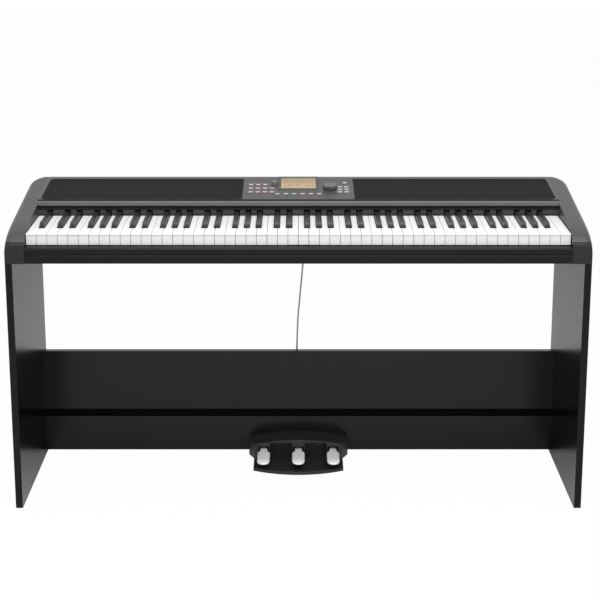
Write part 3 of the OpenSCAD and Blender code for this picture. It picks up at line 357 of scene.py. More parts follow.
MATERIALS = {name: finish(name, **look) for name, look in FINISHES.items()} | {
    "cloth": weave("cloth", (0.012, 0.012, 0.013), 0.35 * MM, 0.9),
    # The display's colour fades from its lower edge up, as a painted glow.
    "display": painted_glow_display("display", (0.40, 0.275, 0.125), (0.22, 0.15, 0.07),
                           WINDOW_BOX[0][2], WINDOW_BOX[1][2]),
    "pcb": circuit("pcb", (0.012, 0.075, 0.035), (0.05, 0.20, 0.08), 0.3),
    "steel": brushed("steel", (0.6, 0.6, 0.62), 0.25, (30, 1, 1), Metallic=1.0),
    "socket_metal": brushed("socket_metal", (0.35, 0.35, 0.36), 0.35, (1, 1, 20), Metallic=0.9),
    "pedal_metal": brushed("pedal_metal", (0.92, 0.92, 0.91), 0.36, (1, 26, 1), Metallic=0.2),
}

# ---------- making pieces ----------

SMOOTH_ANGLE = 35.0
WELD = 0.002 * MM
FLAT_ANGLE = 0.3
EDGE_ANGLE = 32.0
EDGE_STEPS = 2


def add_piece(name, mesh, slot, body=ROOT, node=None, material=None):
    """A piece on a body, in place of a CAD node where one is named."""
    piece = bpy.data.objects.new(name, mesh)
    bpy.context.scene.collection.objects.link(piece)
    if not mesh.materials:
        mesh.materials.append(MATERIALS[material or slot])
    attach(piece, body)
    if node:
        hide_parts(node)
    return piece


def body_of(node):
    return frame["nodes"][node]["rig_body"]


def mesh_from(bm, name, smooth_angle=SMOOTH_ANGLE):
    mesh = bpy.data.meshes.new(name)
    bmesh.ops.recalc_face_normals(bm, faces=bm.faces)
    bm.to_mesh(mesh)
    bm.free()
    mesh.shade_smooth()
    mesh.set_sharp_from_angle(angle=math.radians(smooth_angle))
    return mesh


def add_made(name, bm, slot, body=ROOT, smooth_angle=SMOOTH_ANGLE, **rest):
    """A piece with a mesh of the same name."""
    return add_piece(name, mesh_from(bm, name, smooth_angle), slot, body, **rest)


def frame_at(point, normal):
    """A frame at a point, with x along +X and z along the normal."""
    z = Vector(normal).normalized()
    y = z.cross(Vector((1, 0, 0))).normalized()
    matrix = Matrix((y.cross(z), y, z)).transposed().to_4x4()
    matrix.translation = point
    return matrix


def local_box(points, matrix):
    """Lowest and highest corner of some points, seen in a frame."""
    back = matrix.inverted()
    seen = [back @ Vector(point) for point in points]
    return (Vector([min(p[i] for p in seen) for i in range(3)]),
            Vector([max(p[i] for p in seen) for i in range(3)]))


def node_points(node):
    return [vertex.co for vertex in frame["nodes"][node].data.vertices]


def node_bmesh(node):
    """A CAD node's faces, welded, with its flat faces whole again."""
    bm = bmesh.new()
    bm.from_mesh(frame["nodes"][node].data)
    bmesh.ops.remove_doubles(bm, verts=bm.verts, dist=WELD)
    bmesh.ops.dissolve_limit(bm, angle_limit=math.radians(FLAT_ANGLE), verts=bm.verts, edges=bm.edges)
    return bm


def islands(node, matrix):
    """The boxes of a node's separate solids, seen in a frame, from left to right."""
    bm = node_bmesh(node)
    boxes, done = [], set()
    for start in bm.verts:
        if start in done:
            continue
        group, todo = [], [start]
        done.add(start)
        while todo:
            vertex = todo.pop()
            group.append(vertex.co.copy())
            for edge in vertex.link_edges:
                other = edge.other_vert(vertex)
                if other not in done:
                    done.add(other)
                    todo.append(other)
        boxes.append(local_box(group, matrix))
    bm.free()
    return sorted(boxes, key=lambda box: (round(box[0].x, 4), box[0].y))


def add_rings(bm, rings, caps=True):
    """Joins rings of points, in order along a loft. Without end caps the last ring joins the first."""
    rows = [[bm.verts.new(point) for point in ring] for ring in rings]
    count = len(rows[0])
    for low, high in zip(rows, rows[1:] + ([] if caps else [rows[0]])):
        for i in range(count):
            j = (i + 1) % count
            bm.faces.new((low[i], low[j], high[j], high[i]))
    if caps:
        bm.faces.new(rows[0][::-1])
        bm.faces.new(rows[-1])
    return rows


def ring(radius, height, sides, matrix, wave=0.0, waves=0):
    """Points of a circle, or of a fluted outline with a number of waves."""
    points = []
    for i in range(sides):
        a = 2 * math.pi * i / sides
        r = radius + wave * math.cos(waves * a)
        points.append(matrix @ Vector((r * math.cos(a), r * math.sin(a), height)))
    return points


def add_turned(bm, profile, matrix, sides=48):
    """A turned solid. The profile has (radius, height) points, or (radius, height, wave, waves)."""
    return add_rings(bm, [ring(row[0], row[1], sides, matrix, *row[2:]) for row in profile])


def add_box(bm, low, high, matrix):
    """A box between two corners of a frame."""
    corners = [Vector((x, y, z)) for z in (low[2], high[2])
               for x, y in ((low[0], low[1]), (high[0], low[1]), (high[0], high[1]), (low[0], high[1]))]
    points = [matrix @ corner for corner in corners]
    add_rings(bm, [points[:4], points[4:]])


def add_bevel(piece, width, angle=EDGE_ANGLE):
    bevel = piece.modifiers.new("edges", "BEVEL")
    bevel.width = width
    bevel.segments = EDGE_STEPS
    bevel.limit_method = "ANGLE"
    bevel.angle_limit = math.radians(angle)
    normals = piece.modifiers.new("normals", "WEIGHTED_NORMAL")
    normals.keep_sharp = True


def soften(node, width, paint=None, others=(), cuts=(), angle=EDGE_ANGLE):
    """A piece with a CAD node's shape and rounded edges.

    For each face paint gives 0 for the node's own slot, or 1 and up for a place in others. Each cut
    is the point and normal of a plane that divides flat faces, so that their halves differ.
    """
    bm = node_bmesh(node)
    for point, normal in cuts:
        everything = [*bm.verts, *bm.edges, *bm.faces]
        bmesh.ops.bisect_plane(bm, geom=everything, plane_co=point, plane_no=normal)
    if paint:
        bmesh.ops.recalc_face_normals(bm, faces=bm.faces)
        for face in bm.faces:
            face.material_index = int(paint(face))
    mesh = mesh_from(bm, node + "_soft")
    for name in (SLOT_OF[node], *others):
        mesh.materials.append(MATERIALS[name])
    piece = add_piece(node + "_piece", mesh, SLOT_OF[node], body_of(node), node)
    add_bevel(piece, width, angle=angle)
    return piece


# ---------- body, stand and keys ----------

DIAL_JOINT = JOINTS["value_dial_turn"]
UP = Vector((0, 0, 1))
# The frame of the sloping top: z is 0 on its surface, and y rises to the back.
TOP = frame_at((0, DIAL_JOINT["pos_m"][1], DIAL_JOINT["pos_m"][2]), DIAL_JOINT["axis"])
TOP_BACK = TOP.inverted()
TOP_NORMAL = TOP.to_3x3() @ UP
PANEL_BOX = local_box(node_points("control_panel"), TOP)
LIP_EDGE = PANEL_BOX[0].y - 0.3 * MM
LIP_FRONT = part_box("top_case")[0][1]
RAIL_STEP = 2 * MM
BODY_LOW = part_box("left_cheek")[0][2]
# The lip's lower edge and the cheeks' seam, above the underside of the body, as in part.scad.
LIP_LOW = BODY_LOW + 89.6 * MM
CHEEK_SEAM = BODY_LOW + 48.8 * MM
CHEEK_EDGE_ANGLE = 60.0
# How far a face's normal leans to an axis, for the paints below.
FACING = 0.5
UPRIGHT = 0.8
GROOVE_LOW = 50 * MM
BOARD_SKIN = 1 * MM


def lip_light_and_shade(face):
    """1 on the upright front edge of the top, painted lighter as a highlight; 2 on the curve above it and
    the rail under it, painted dark as shade.
    """
    place = face.calc_center_median()
    seen = TOP_BACK @ place
    if seen.y > LIP_EDGE or face.normal.z < -FACING:
        return 0
    upright = face.normal.y < -UPRIGHT and place.y < LIP_FRONT + RAIL_STEP and place.z > LIP_LOW
    return 1 if upright else 2


def groove_paint(face):
    """1 on the upright faces of the groove in the front of the pedal board, painted near black as shade."""
    low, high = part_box("pedal_board")
    place = face.calc_center_median()
    upright = abs(face.normal.x) <= FACING <= abs(face.normal.y)
    inside = low[1] + BOARD_SKIN < place.y < high[1] - BOARD_SKIN
    return int(upright and inside and place.z >= low[2] + GROOVE_LOW)


def cheek_shade_paint(face):
    """1 on the foot of a cheek, below its seam, painted darker as shade."""
    return int(face.calc_center_median().z < CHEEK_SEAM)


# The width in millimetres by which each node's edges are rounded.
SOFT_EDGES = {
    "bottom_case": 0.6, "key_slip": 0.5, "back_board": 0.8, "pedal_cover": 1.2, "pedal_base": 0.8,
    "control_panel": 0.4, "buttons_left": 0.4, "buttons_right": 0.4, "power_button": 0.4,
    "stand_brackets": 0.4, "jack_plate": 0.3,
}
KEY_EDGE = 0.35
for node in frame["nodes"]:
    if "key" in node and node not in ("key_slip", "key_bed", "key_felts"):
        SOFT_EDGES[node] = KEY_EDGE
for node, width in SOFT_EDGES.items():
    soften(node, width * MM)

# The lip is painted lighter as a highlight; the curve above it and the rail under it are painted dark as
# shade.
soften("top_case", 0.5 * MM, lip_light_and_shade, ("lip_plastic", "rail_painted_shade"),
       [(TOP @ Vector((0, LIP_EDGE, 0)), TOP.to_3x3() @ Vector((0, 1, 0))), (LIP_LOW * UP, UP)])
# The upright faces of the board's groove are painted near black as shade.
soften("pedal_board", 0.8 * MM, groove_paint, ("groove",))
# Below the seam each cheek is painted darker as shade.
for node in ("left_cheek", "right_cheek"):
    soften(node, 0.5 * MM, cheek_shade_paint, ("cheek_foot_painted_shade",), [(CHEEK_SEAM * UP, UP)], CHEEK_EDGE_ANGLE)
for node in ("left_panel", "right_panel"):
    soften(node, 0.8 * MM, lambda face: 1, ("side_laminate",))

LINING_STEP = 0.3 * MM
LINING_T = 1.2 * MM
LINING_DROP = 1 * MM
LINING_FRONT = 9 * MM
LINING_BACK = 40 * MM
LINING_LOW = 10 * MM
RIM_DEPTH = 0.2 * MM


def add_lining(node):
    """The inner wall of a cheek, a little behind the edge of its shell."""
    side = 1 if node.startswith("right") else -1
    points = node_points(node)
    inner = min(abs(point.x) for point in points)
    crest = {}
    for point in points:
        if abs(point.x) - inner < RIM_DEPTH:
            y = round(point.y, 4)
            crest[y] = max(point.z, crest.get(y, 0.0))
    low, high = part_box(node)
    profile = [(y, crest[y] - LINING_DROP) for y in sorted(crest)
               if low[1] + LINING_FRONT < y < high[1] - LINING_BACK]
    floor = BODY_LOW + LINING_LOW
    outline = [(profile[0][0], floor), *profile, (profile[-1][0], floor)]
    bm = bmesh.new()
    add_rings(bm, [[Vector((side * (inner + step), y, z)) for y, z in outline]
                   for step in (LINING_STEP, LINING_STEP + LINING_T)])
    add_made(node + "_lining", bm, "cheek_plastic")


add_lining("left_cheek")
add_lining("right_cheek")

STRIP_DROP = 11.5 * MM
STRIP_LOW_GAP = 3.5 * MM
STRIP_CLEAR = 1.2 * MM
STRIP_BACK = 0.8 * MM
STRIP_T = 1.6 * MM


def add_key_strip():
    """The felt strip that hangs from the rail down to the white keys, slotted for the black ones."""
    blacks = [node for node in frame["nodes"] if "black_keys" in node or "sharp" in node]
    slots = sorted((low.x - STRIP_CLEAR, high.x + STRIP_CLEAR)
                   for node in blacks for low, high in islands(node, Matrix()))
    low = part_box("key_c4")[1][2] + STRIP_LOW_GAP
    y = LIP_FRONT + RAIL_STEP + STRIP_BACK
    starts = [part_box("left_cheek")[1][0], *(slot[1] for slot in slots)]
    ends = [*(slot[0] for slot in slots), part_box("right_cheek")[0][0]]
    bm = bmesh.new()
    for start, end in zip(starts, ends):
        add_box(bm, (start, y, low), (end, y + STRIP_T, low + STRIP_DROP), Matrix())
    add_made("key_strip", bm, "felt")


add_key_strip()

# ---------- grilles ----------

GRILLE_CORNER = 12 * MM
GRILLE_FIT = 0.3 * MM
GRILLE_FRAME = 4.5 * MM
HOLE_PITCH = 4.6 * MM
HOLE_SHARE = 0.68
SHEET_T = 0.5 * MM
SHEET_TOP = -0.5 * MM
SHEET_BOW = 1.2 * MM
SHEET_LAP = 2 * MM
FRAME_ROUND = 0.4 * MM
FRAME_BEVEL = 1.5 * MM
CLOTH_GAP = 0.1 * MM
CLOTH_FIT = 0.05 * MM
SAME_POINT = 0.02 * MM
CORNER_STEPS = 8


class Grille:
    """A perforated sheet in a frame, with cloth behind it, on one side of the control panel."""

    def __init__(self, node):
        self.node = node
        low, high = local_box(node_points(node), TOP)
        self.side = 1 if low.x > 0 else -1
        self.inner = min(abs(low.x), abs(high.x))
        self.outer = max(abs(low.x), abs(high.x))
        self.front, self.back = low.y, high.y
        self.floor = low.z

    def outline(self, inset):
        """Points round the grille, inset from its edge: square at its inner end, round at its outer one."""
        radius = GRILLE_CORNER - inset if inset < GRILLE_CORNER else 0
        x, y0, y1 = self.outer - inset, self.front + inset, self.back - inset
        points = [(self.inner + inset, y1), (self.inner + inset, y0)]
        for center, start in ((y0 + radius, -90), (y1 - radius, 0)):
            for step in range(CORNER_STEPS + 1):
                a = math.radians(start + 90 * step / CORNER_STEPS)
                points.append((x - radius + radius * math.cos(a), center + radius * math.sin(a)))
        return [(self.side * px, py) for px, py in points]

    def holds(self, x, y, inset):
        """True where a point is inside the outline by the inset."""
        x = abs(x)
        if not (self.inner + inset < x < self.outer - inset and self.front + inset < y < self.back - inset):
            return False
        corner_x = self.outer - GRILLE_CORNER
        for corner_y, way in ((self.front + GRILLE_CORNER, -1), (self.back - GRILLE_CORNER, 1)):
            if x > corner_x and (y - corner_y) * way > 0:
                return math.hypot(x - corner_x, y - corner_y) < GRILLE_CORNER - inset
        return True

    def height(self, y):
        """The sheet is bowed from front to back, and highest at its middle."""
        across = (2 * y - self.front - self.back) / (self.back - self.front)
        return SHEET_TOP - SHEET_BOW * across * across

    def add_sheet(self):
        """The sheet: hexagonal cells round hexagonal holes, row by row."""
        bm = bmesh.new()
        known = {}
        radius = HOLE_PITCH / math.sqrt(3)
        corners = [(math.sin(math.pi * k / 3), math.cos(math.pi * k / 3)) for k in range(6)]

        def vertex(x, y):
            key = (round(x / SAME_POINT), round(y / SAME_POINT))
            if key not in known:
                known[key] = bm.verts.new(TOP @ Vector((x, y, self.height(y))))
            return known[key]

        rows = int((self.back - self.front) / (1.5 * radius)) + 1
        columns = int((self.outer - self.inner) / HOLE_PITCH) + 1
        for row in range(rows):
            for column in range(columns):
                x = self.side * (self.inner + (column + 0.5 * (row % 2)) * HOLE_PITCH)
                y = self.front + row * 1.5 * radius
                if not self.holds(x, y, GRILLE_FRAME - SHEET_LAP):
                    continue
                outer = [vertex(x + radius * cx, y + radius * cy) for cx, cy in corners]
                inner = [vertex(x + HOLE_SHARE * radius * cx, y + HOLE_SHARE * radius * cy)
                         for cx, cy in corners]
                for k in range(6):
                    j = (k + 1) % 6
                    bm.faces.new((outer[k], outer[j], inner[j], inner[k]))
        sheet = add_made(self.node + "_sheet", bm, "grille_metal", node=self.node)
        solid = sheet.modifiers.new("thickness", "SOLIDIFY")
        solid.thickness = SHEET_T
        solid.offset = -1.0

    def add_frame(self):
        """The frame's section as (inset, height) steps, run round the grille."""
        steps = [(GRILLE_FIT, self.floor), (GRILLE_FIT, -0.3 * MM), (GRILLE_FIT + FRAME_ROUND, 0.0),
                 (GRILLE_FRAME - FRAME_BEVEL, 0.0), (GRILLE_FRAME, SHEET_TOP - SHEET_BOW),
                 (GRILLE_FRAME, self.floor)]
        bm = bmesh.new()
        add_rings(bm, [[TOP @ Vector((x, y, z)) for x, y in self.outline(step)] for step, z in steps],
                  caps=False)
        add_made(self.node + "_frame", bm, "grille_metal", smooth_angle=25.0)

    def add_cloth(self):
        """Speaker cloth on a block that fills the frame under the sheet."""
        bm = bmesh.new()
        top = self.height(self.front) - SHEET_T - CLOTH_GAP
        add_rings(bm, [[TOP @ Vector((x, y, z)) for x, y in self.outline(GRILLE_FRAME + CLOTH_FIT)]
                       for z in (self.floor, top)])
        add_made(self.node + "_cloth", bm, "speaker", material="cloth")


for node in ("left_grille", "right_grille"):
    grille = Grille(node)
    grille.add_sheet()
    grille.add_frame()
    grille.add_cloth()

# ---------- controls ----------

PRINT_T = 0.06 * MM
PRINT_W = 0.6 * MM
BRACKET_RISE = 6 * MM
BRACKET_ARM = 3 * MM
BARE_BACK = 40 * MM
DASH_INSET = 2 * MM
DASH_RISE = 2.5 * MM
LED_R = 1.0 * MM
LED_RISE = 2.6 * MM
# Joint, radius, count, span in degrees and length of the ticks round a knob.
TICKS = (("volume_knob_turn", 10.5 * MM, 11, 280, 2 * MM), ("value_dial_turn", 19.5 * MM, 36, 350, MM))


def center_buttons_paint(face):
    """The right half of the centre row is rose, the left half greenish grey."""
    return face.calc_center_median().x > 0


soften("buttons_center", 0.4 * MM, center_buttons_paint, ("button_rose",))


def on_top(joint):
    """The frame of a knob on the sloping top."""
    center = TOP_BACK @ Vector(JOINTS[joint]["pos_m"])
    return TOP @ Matrix.Translation((center.x, center.y, 0))


def add_marks():
    """Printed lines on the control panel: brackets round the groups and ticks round the knobs."""
    bm = bmesh.new()

    def line(x0, y0, x1, y1):
        add_box(bm, (min(x0, x1) - PRINT_W / 2, min(y0, y1) - PRINT_W / 2, 0),
                (max(x0, x1) + PRINT_W / 2, max(y0, y1) + PRINT_W / 2, PRINT_T), TOP)

    for node, margin in (("buttons_left", 5 * MM), ("buttons_right", 4 * MM)):
        boxes = islands(node, TOP)
        x0 = min(box[0].x for box in boxes) - margin
        x1 = max(box[1].x for box in boxes) + margin
        for y in sorted({round(box[1].y, 4) for box in boxes}):
            if node == "buttons_left" and y > PANEL_BOX[1].y - BARE_BACK:
                continue
            line(x0, y + BRACKET_RISE, x1, y + BRACKET_RISE)
            for x in (x0, x1):
                line(x, y + BRACKET_ARM, x, y + BRACKET_RISE)
    for low, high in islands("buttons_center", TOP):
        line(low.x + DASH_INSET, high.y + DASH_RISE, high.x - DASH_INSET, high.y + DASH_RISE)
    for joint, radius, count, span, length in TICKS:
        for k in range(count):
            turn = Matrix.Rotation(math.radians(span * (k / (count - 1) - 0.5)), 4, "Z")
            add_box(bm, (-PRINT_W / 2, radius, 0), (PRINT_W / 2, radius + length, PRINT_T),
                    on_top(joint) @ turn)
    add_made("panel_marks", bm, "panel_plastic", material="print")


def add_leds():
    """A small lamp above each button of the left group."""
    bm = bmesh.new()
    for low, high in islands("buttons_left", TOP):
        place = TOP @ Matrix.Translation(((low.x + high.x) / 2, high.y + LED_RISE, 0))
        add_turned(bm, [(LED_R, 0), (LED_R, 0.2 * MM), (0.8 * LED_R, 0.45 * MM), (0.4 * LED_R, 0.6 * MM)],
                   place, 16)
    add_made("panel_leds", bm, "button_rose", smooth_angle=60.0, material="led")


add_marks()
add_leds()


DIAL_KNURL = (0.35 * MM, 60)
DIAL_FACE_DROP = 0.7 * MM
DIAL_FACE_INSET = 5.2 * MM
DIMPLE_R = 3.5 * MM
DIMPLE_DEPTH = 1.1 * MM
KNOB_FLUTE = (0.25 * MM, 24)
STEM_R = 3 * MM
STEM_EDGE = 0.3 * MM


def add_dial():
    """The value dial: a knurled rim round a flat face with a dimple for a finger."""
    node = "value_dial"
    low, high = local_box(node_points(node), TOP)
    place = on_top("value_dial_turn")
    radius, height = (high.x - low.x) / 2, high.z
    face_r, face_z = radius - DIAL_FACE_INSET, height - DIAL_FACE_DROP
    bm = bmesh.new()
    wall = [(radius - 1 * MM, 0.3 * MM), (radius - 0.5 * MM, 0.9 * MM, *DIAL_KNURL),
            (radius - 0.5 * MM, height - 3 * MM, *DIAL_KNURL),
            (radius - 1.2 * MM, height - 1.2 * MM, *DIAL_KNURL),
            (radius - 2.2 * MM, height - 0.3 * MM), (radius - 3.4 * MM, height),
            (radius - 4.4 * MM, height), (face_r, face_z)]
    flat = [(face_r * share, face_z) for share in (0.85, 0.7, 0.55, 0.4, 0.25, 0.1)]
    rows = add_turned(bm, wall + flat, place, 240)
    dimple = place @ Vector((0, 0.45 * radius, face_z))
    for row in rows[len(wall):]:
        for vertex in row:
            away = (vertex.co - dimple).length / DIMPLE_R
            vertex.co -= TOP_NORMAL * DIMPLE_DEPTH * math.exp(-away * away)
    mesh = mesh_from(bm, node, 50.0)
    mesh.materials.append(MATERIALS["knob_plastic"])
    mesh.materials.append(MATERIALS["dial_top"])
    back = place.inverted()
    for polygon in mesh.polygons:
        spot = back @ polygon.center
        on_face = spot.z > height - 2 * MM and math.hypot(spot.x, spot.y) < radius - 5 * MM
        polygon.material_index = int(on_face)
    add_piece("value_dial_piece", mesh, "knob_plastic", body_of(node), node)
    add_stem(node, place)


def add_stem(node, place):
    """The shaft that carries a knob down to the board under the panel."""
    bottom = local_box(node_points(node), TOP)[0].z
    bm = bmesh.new()
    add_turned(bm, [(STEM_R - STEM_EDGE, bottom), (STEM_R, bottom + STEM_EDGE), (STEM_R, 0.2 * MM)],
               place, 32)
    add_made(node + "_stem", bm, "knob_plastic", body_of(node))


def add_knob():
    """The volume knob: fluted, slightly tapered, with a pale pointer line."""
    node = "volume_knob"
    low, high = local_box(node_points(node), TOP)
    place = on_top("volume_knob_turn")
    radius, height = (high.x - low.x) / 2, high.z
    bm = bmesh.new()
    add_turned(bm, [
        (radius - 0.4 * MM, 0.3 * MM), (radius, 0.6 * MM), (radius, 1.6 * MM),
        (radius - 0.6 * MM, 2.0 * MM, *KNOB_FLUTE), (radius - 1.0 * MM, height - 1.4 * MM, *KNOB_FLUTE),
        (radius - 1.5 * MM, height - 0.5 * MM), (radius - 2.2 * MM, height - 0.1 * MM),
        (radius - 3.2 * MM, height - 0.2 * MM), (1 * MM, height - 0.4 * MM)], place, 144)
    add_piece("volume_knob_piece", mesh_from(bm, node, 50.0), "knob_plastic", body_of(node), node)
    add_stem(node, place)
    bm = bmesh.new()
    add_box(bm, (-0.5 * MM, 1.5 * MM, height - 0.5 * MM),
            (0.5 * MM, radius - 2 * MM, height - 0.02 * MM), place)
    pointer = add_made("volume_pointer", bm, "knob_plastic", body_of(node), material="print")
    add_bevel(pointer, 0.12 * MM)


add_dial()
add_knob()


SEGMENT_LOW = -0.05 * MM
SEGMENT_TOP = 0.04 * MM


def add_display():
    """The display: a panel with a painted glow behind a bevelled edge, with bars and dashes that name
    nothing.
    """
    node = "display_window"
    bm = node_bmesh(node)
    face = max(bm.faces, key=lambda f: f.calc_area() * (f.normal.z > FACING))
    place = frame_at(face.calc_center_median(), face.normal)
    bm.free()
    low, high = local_box(node_points(node), place)
    soften(node, 0.2 * MM)
    width, height = high.x - low.x, high.y - low.y
    bm = bmesh.new()

    def block(x, y, w, h):
        """A dark segment: its corner and its size, as shares of the display's width and height."""
        add_box(bm, (low.x + x * width, low.y + y * height, SEGMENT_LOW),
                (low.x + (x + w) * width, low.y + (y + h) * height, SEGMENT_TOP), place)

    for k in range(12):
        block(0.07 + 0.022 * k, 0.16, 0.015, 0.04 + 0.018 * k)
    for k, share in enumerate((0.9, 0.5, 0.7)):
        block(0.42, 0.16 + 0.09 * k, 0.2 * share, 0.04)
    for k in range(4):
        block(0.70 + 0.062 * k, 0.16, 0.045, 0.14)
    block(0.06, 0.50, 0.88, 0.015)
    for k, share in enumerate((0.85, 0.6, 0.75, 0.4)):
        block(0.07 + 0.235 * k, 0.60, 0.2 * share, 0.06)
        block(0.07 + 0.235 * k, 0.74, 0.14 * share, 0.05)
    add_made("display_segments", bm, "display", material="display_marks")


add_display()

# ---------- pedals ----------

PEDAL_HEAD_HALF = 15.5 * MM
PEDAL_ARM_HALF = 9 * MM
PEDAL_HALF_T = 4.5 * MM
PEDAL_HUB = 8 * MM
PEDAL_DROP = 6 * MM
HEAD_RUN = 53 * MM
NECK_RUN = 12 * MM
SHAFT_BORE = 3.05 * MM
NOSE_RUN = 17 * MM
NOSE_R = 30 * MM
TIP_RUN = 6 * MM
TIP_SHARE = 0.55
HUB_EDGE = 0.8 * MM
# Distances from a pedal's tip, in metres, at which its section is set.
HEAD_STATIONS = [0.0004, 0.0012, 0.0025, 0.0045, 0.007, 0.010, 0.0135, 0.0155, 0.02, 0.026, 0.033]
ARM_STATIONS = [0.075, 0.095]
NECK_STEPS = 6
SECTION_POINTS = 32
SECTION_POWER = 0.55
SPRING_WIRE = 0.8 * MM
SPRING_TURNS = 6.0
CLOSED_TURNS = 0.9
TURN_STEPS = 28
WIRE_SIDES = 8


def ease(t):
    """A smooth step from 0 to 1."""
    t = min(max(t, 0.0), 1.0)
    return t * t * (3 - 2 * t)


def section(half_w, top, bottom):
    """A rounded section as (x, z) points, with a crowned top."""
    points = []
    for i in range(SECTION_POINTS):
        a = 2 * math.pi * i / SECTION_POINTS
        c, s = math.cos(a), math.sin(a)
        x = half_w * math.copysign(abs(c) ** SECTION_POWER, c)
        rise = math.copysign(abs(s) ** SECTION_POWER, s)
        points.append((x, (top - bottom) / 2 * rise + (top + bottom) / 2))
    return points


def add_pedal(node):
    """A plated pedal: a rounded head, a neck and an arm, with its hub on the shaft."""
    low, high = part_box(node)
    _, shaft_y, shaft_z = JOINTS[node + "_press"]["pos_m"]
    middle, tip_y = (low[0] + high[0]) / 2, low[1]
    length = shaft_y - tip_y
    neck_stations = [HEAD_RUN + NECK_RUN * k / NECK_STEPS for k in range(NECK_STEPS + 1)]
    rings = []
    for run in (*HEAD_STATIONS, *neck_stations, *ARM_STATIONS, length):
        axis_z = shaft_z - PEDAL_DROP * (1 - run / length)
        tip = math.sqrt(max(0.0, 1 - (1 - min(run / PEDAL_HEAD_HALF, 1.0)) ** 2))
        neck = ease((run - HEAD_RUN) / NECK_RUN)
        half_w = (PEDAL_HEAD_HALF + (PEDAL_ARM_HALF - PEDAL_HEAD_HALF) * neck) * tip
        nose = max(0.0, NOSE_RUN - run)
        drop = NOSE_R - math.sqrt(NOSE_R ** 2 - nose ** 2)
        top = axis_z + PEDAL_HALF_T - drop
        bottom = axis_z - PEDAL_HALF_T * (TIP_SHARE + (1 - TIP_SHARE) * min(run / TIP_RUN, 1.0))
        rings.append([Vector((middle + x, tip_y + run, z)) for x, z in section(half_w, top, bottom)])
    bm = bmesh.new()
    add_rings(bm, rings)
    add_piece(node + "_piece", mesh_from(bm, node, 50.0), "pedal_metal", body_of(node), node)
    bm = bmesh.new()
    place = Matrix.Translation((middle, shaft_y, shaft_z)) @ Matrix.Rotation(math.pi / 2, 4, "Y")
    half = PEDAL_ARM_HALF
    profile = [(SHAFT_BORE, -half), (PEDAL_HUB - HUB_EDGE, -half), (PEDAL_HUB, -half + HUB_EDGE),
               (PEDAL_HUB, half - HUB_EDGE), (PEDAL_HUB - HUB_EDGE, half), (SHAFT_BORE, half)]
    add_rings(bm, [ring(r, h, 48, place) for r, h in profile], caps=False)
    add_made(node + "_hub", bm, "pedal_metal", body_of(node))


def add_spring(node):
    """A compression spring with its end turns closed."""
    low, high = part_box(node)
    wire = SPRING_WIRE
    radius = (high[0] - low[0]) / 2 - wire
    bottom, top = low[2] + wire, high[2] - wire
    rings = []
    for k in range(int(SPRING_TURNS * TURN_STEPS) + 1):
        turn = k / TURN_STEPS
        rise = min(max((turn - CLOSED_TURNS) / (SPRING_TURNS - 2 * CLOSED_TURNS), 0.0), 1.0)
        ends = min(turn, CLOSED_TURNS) + max(0.0, turn - SPRING_TURNS + CLOSED_TURNS)
        z = bottom + 2 * wire * ends + (top - bottom - 4 * wire * CLOSED_TURNS) * rise
        a = 2 * math.pi * turn
        center = Vector(((low[0] + high[0]) / 2, (low[1] + high[1]) / 2, z))
        out = Vector((math.cos(a), math.sin(a), 0))
        rings.append([center + out * (radius + wire * math.cos(b)) + Vector((0, 0, wire * math.sin(b)))
                      for b in (2 * math.pi * i / WIRE_SIDES for i in range(WIRE_SIDES))])
    bm = bmesh.new()
    add_rings(bm, rings)
    piece = add_piece(node + "_piece", mesh_from(bm, node, 60.0), "steel", node=node)
    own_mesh(piece)


for voice in ("soft", "sostenuto", "damper"):
    add_pedal(voice + "_pedal")
    add_spring(voice + "_spring")

# ---------- plug, grommet and sockets ----------

RELIEF_SHARE = 0.36
GRIP_SHARE = 0.78
RELIEF_R = 2.4 * MM
RELIEF_RIB = 0.5 * MM
RELIEF_RIBS = 5
GRIP_RINGS = 4
SHELL_SHARE = 0.75
CORD_FIT = 0.02 * MM
FLANGE_T = 1.6 * MM
RIM_MARGIN = 4 * MM
HOLE_GAP = 7 * MM
ROUND_WITHIN = 0.3 * MM
SOCKET_DEPTH = 8 * MM
SOCKET_WALL = 1 * MM
GASKET_LAP = 1.5 * MM
GASKET_T = 0.95 * MM
GASKET_GAP = 0.05 * MM


def add_plug():
    """The cord's plug: a tapered, ribbed relief, a grip with rings, and a metal shell."""
    low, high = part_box("cord_plug")
    place = Matrix.Translation(((low[0] + high[0]) / 2, (low[1] + high[1]) / 2, low[2]))
    height, radius = high[2] - low[2], (high[0] - low[0]) / 2
    relief, grip = RELIEF_SHARE * height, GRIP_SHARE * height
    profile = [(2.1 * MM, 0)]
    for k in range(RELIEF_RIBS):
        z = relief * k / RELIEF_RIBS
        r = RELIEF_R + (0.72 * radius - RELIEF_R) * k / RELIEF_RIBS
        profile += [(r + RELIEF_RIB, z + 0.2 * MM), (r + RELIEF_RIB, z + 0.6 * relief / RELIEF_RIBS),
                    (r, z + 0.7 * relief / RELIEF_RIBS), (r, z + 0.95 * relief / RELIEF_RIBS)]
    profile += [(0.9 * radius, relief), (radius, relief + 0.8 * MM)]
    for k in range(GRIP_RINGS):
        z = relief + (0.22 + 0.15 * k) * (grip - relief)
        profile += [(radius, z), (radius - 0.3 * MM, z + 0.3 * MM), (radius - 0.3 * MM, z + 0.7 * MM),
                    (radius, z + 1.0 * MM)]
    profile += [(radius, grip - 0.8 * MM), (0.92 * radius, grip), (0.3 * radius, grip)]
    bm = bmesh.new()
    add_turned(bm, profile, place, 40)
    body = add_piece("cord_plug_piece", mesh_from(bm, "cord_plug", 50.0), "cord_grey", node="cord_plug")
    bm = bmesh.new()
    add_turned(bm, [(0.3 * radius, grip), (SHELL_SHARE * radius, grip),
                    (SHELL_SHARE * radius, height - 0.2 * MM), (0.7 * radius, height)], place, 40)
    shell = add_made("cord_plug_shell", bm, "cord_grey", smooth_angle=50.0, material="steel")
    return [body, shell]


